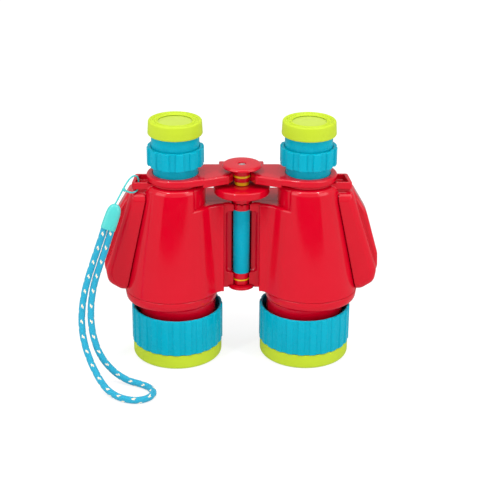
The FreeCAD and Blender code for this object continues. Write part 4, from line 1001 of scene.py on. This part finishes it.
hinge_pieces = [
    ("stack_cap", "left_half", "red_plastic", RED, "hinge_cap", None,
     [(2.2, 40.2, 0.2), (7.55, 40.2, 0.6), (7.55, 41.9, 0.3), (1.15, 41.9, 0),
      (1.15, 41.1, 0), (2.2, 41.1, 0)]),
    ("low_washer", "left_half", "yellow_plastic", YELLOW, "lower_hinge_washer", None,
     washer(4.65, 44.8, 45.6, 0.25)),
    ("blue_sleeve", "left_half", "blue_plastic", BLUE, "hinge_sleeve", None,
     washer(4.63, *SLEEVE, 0.3)),
    ("middle_bush", "left_half", "yellow_plastic", YELLOW, "middle_hinge_bush", None,
     washer(4.1, 101.5, 103.4, 0.25)),
    ("upper_washer", "left_half", "yellow_plastic", YELLOW, "upper_hinge_washer", None,
     washer(4.65, 105.9, 107.15, 0.3)),
    ("click_crown", "left_half", "red_plastic", RED, "click_ring", click_teeth,
     washer(4.85, SLEEVE[1], 90.7, 0.3)),
    ("top_knob", "left_half", "red_plastic", RED, "hinge_knob", None,
     [(1.15, 111.0, 0), (7.5, 111.0, 0.8), (10.8, 111.7, 0.5), (10.8, 113.3, 1.35), (2.2, 113.3, 0.35),
      (2.2, 111.8, 0), (1.15, 111.8, 0)]),
    ("wheel", "focus_wheel", "red_plastic", RED, "focus_wheel", wheel_teeth,
     [(2.35, 91.0, 0), (5.1, 91.0, 0.3), (5.1, 95.8, 0.5), (6.0, 96.7, 0.4), (15.45, 96.7, 1.1),
      (15.45, 101.2, 0.8), (2.35, 101.2, 0)]),
]
for name, body, slot, material, node, shift, corners in hinge_pieces:
    piece = lathe(name, corners, shift, segments=240)
    dress(piece, body, slot, material, node)

# Solids whose shape is right keep it and get a finish

KEPT_NODES = {"hinge_axle": STEEL, "knob_screw": STEEL, "cap_screw": STEEL, "left_shell_screws": STEEL,
              "right_shell_screws": STEEL, "left_lens_retainer": BLUE, "right_lens_retainer": BLUE}
for node, material in KEPT_NODES.items():
    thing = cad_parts[node]
    thing.data.materials.clear()
    thing.data.materials.append(material)


# Floor, light and background

FLOOR_GLOW = 1.10
FLOOR_GLOW_SHARE = 0.70
FLOOR_REFLECTED = 0.42
# Distances in metres over which the floor's shadow fades out
SHADOW_REACH = (0.30, 0.90)


def mix_shader(tree, factor, first, second):
    """Blend two shaders by a factor from 0 to 1."""
    made = add_node(tree, "ShaderNodeMixShader")
    for socket, link in zip(made.inputs, (factor, first, second)):
        tree.links.new(link, socket)
    return made.outputs[0]


def stage_plane(name, corners, material):
    """A flat piece of the studio, which isn't a piece of the object."""
    mesh = bpy.data.meshes.new(name)
    mesh.from_pydata([tuple(value * MM for value in corner) for corner in corners], [],
                     [tuple(range(len(corners)))])
    thing = bpy.data.objects.new(name, mesh)
    thing.data.materials.append(material)
    bpy.context.scene.collection.objects.link(thing)
    return thing


def floor_material():
    """White floor that the camera sees as bright as the background, with a faint shadow.

    Reflections see it as a plain grey, since the studio's table is darker than its white backdrop.
    """
    material, tree, surface = shader("floor")
    surface.inputs["Base Color"].default_value = (0.9, 0.9, 0.9, 1)
    surface.inputs["Roughness"].default_value = 0.7
    glow = add_node(tree, "ShaderNodeEmission", Strength=FLOOR_GLOW)
    grey = add_node(tree, "ShaderNodeEmission", Strength=FLOOR_REFLECTED)
    path = add_node(tree, "ShaderNodeLightPath")
    place = add_node(tree, "ShaderNodeTexCoord")
    distance = add_node(tree, "ShaderNodeVectorMath", operation="LENGTH")
    tree.links.new(place.outputs["Object"], distance.inputs[0])
    share = spread(tree, distance.outputs["Value"], FLOOR_GLOW_SHARE, 1.0, *SHADOW_REACH)
    seen = add_node(tree, "ShaderNodeMath", operation="MULTIPLY")
    tree.links.new(path.outputs["Is Camera Ray"], seen.inputs[0])
    tree.links.new(share, seen.inputs[1])
    in_view = mix_shader(tree, seen.outputs[0], surface.outputs[0], glow.outputs[0])
    mirrored = mix_shader(tree, path.outputs["Is Glossy Ray"], in_view, grey.outputs[0])
    tree.links.new(mirrored, tree.nodes["Material Output"].inputs["Surface"])
    return material


def flag_material():
    """Black card that only reflections see."""
    material, tree, surface = shader("flag")
    surface.inputs["Base Color"].default_value = (0.0, 0.0, 0.0, 1)
    surface.inputs["Roughness"].default_value = 1.0
    surface.inputs["Specular IOR Level"].default_value = 0.0
    return material


FLOOR_REACH = 4000.0
stage_plane("floor", [(-FLOOR_REACH, -FLOOR_REACH, 0), (FLOOR_REACH, -FLOOR_REACH, 0),
                      (FLOOR_REACH, FLOOR_REACH, 0), (-FLOOR_REACH, FLOOR_REACH, 0)], floor_material())

# The dark gap in the studio in front of the object, which the barrels reflect
FLAG_DISTANCE = 405.0
FLAG_REACH = 372.0
FLAG_HEIGHT = 70.0
flag = stage_plane("flag", [(-FLAG_REACH, -FLAG_DISTANCE, 0.5), (FLAG_REACH, -FLAG_DISTANCE, 0.5),
                            (FLAG_REACH, -FLAG_DISTANCE, FLAG_HEIGHT),
                            (-FLAG_REACH, -FLAG_DISTANCE, FLAG_HEIGHT)], flag_material())
flag.visible_camera = False
flag.visible_diffuse = False
flag.visible_shadow = False
flag.visible_transmission = False


def area_light(name, place, target, size, power):
    """A rectangular lamp that points at its target."""
    data = bpy.data.lights.new(name, "AREA")
    data.shape = "RECTANGLE"
    data.size, data.size_y = size
    data.energy = power
    lamp = bpy.data.objects.new(name, data)
    lamp.location = place
    lamp.rotation_euler = (Vector(target) - Vector(place)).to_track_quat("-Z", "Y").to_euler()
    bpy.context.scene.collection.objects.link(lamp)


# Name, place and target in metres, size in metres, power. The two small lamps give the glints
# on the shoulders and rims.
LAMPS = [
    ("top_softbox", (0.0, -0.1, 1.3), (0, 0, 0.06), (1.6, 1.2), 9.6),
    ("left_softbox", (-1.1, -0.7, 0.6), (0, 0, 0.07), (0.9, 1.0), 5.2),
    ("right_softbox", (1.1, -0.7, 0.6), (0, 0, 0.07), (0.9, 1.0), 5.2),
    ("left_glint", (-0.40, -0.40, 1.09), (0, 0, 0.1), (0.08, 0.08), 2.5),
    ("right_glint", (0.54, -0.36, 1.05), (0, 0, 0.1), (0.08, 0.08), 2.5),
]
for lamp in LAMPS:
    area_light(*lamp)

WORLD_AMBIENT = 0.65
WORLD_REFLECTED = 0.5


def make_world():
    """White behind the object, and greyer where it lights or is mirrored."""
    world = bpy.data.worlds.new("studio")
    world.use_nodes = True
    tree = world.node_tree
    sky = tree.nodes["Background"]
    sky.inputs["Color"].default_value = (1, 1, 1, 1)
    path = add_node(tree, "ShaderNodeLightPath")
    mirrored = add_node(tree, "ShaderNodeMath", operation="MAXIMUM")
    tree.links.new(path.outputs["Is Glossy Ray"], mirrored.inputs[0])
    tree.links.new(path.outputs["Is Transmission Ray"], mirrored.inputs[1])
    first = add_node(tree, "ShaderNodeMath", operation="MULTIPLY_ADD")
    tree.links.new(mirrored.outputs[0], first.inputs[0])
    first.inputs[1].default_value = WORLD_REFLECTED - WORLD_AMBIENT
    first.inputs[2].default_value = WORLD_AMBIENT
    second = add_node(tree, "ShaderNodeMath", operation="MULTIPLY_ADD")
    tree.links.new(path.outputs["Is Camera Ray"], second.inputs[0])
    second.inputs[1].default_value = 1 - WORLD_AMBIENT
    tree.links.new(first.outputs[0], second.inputs[2])
    tree.links.new(second.outputs[0], sky.inputs["Strength"])
    bpy.context.scene.world = world


make_world()
bpy.context.scene.view_settings.view_transform = "Standard"
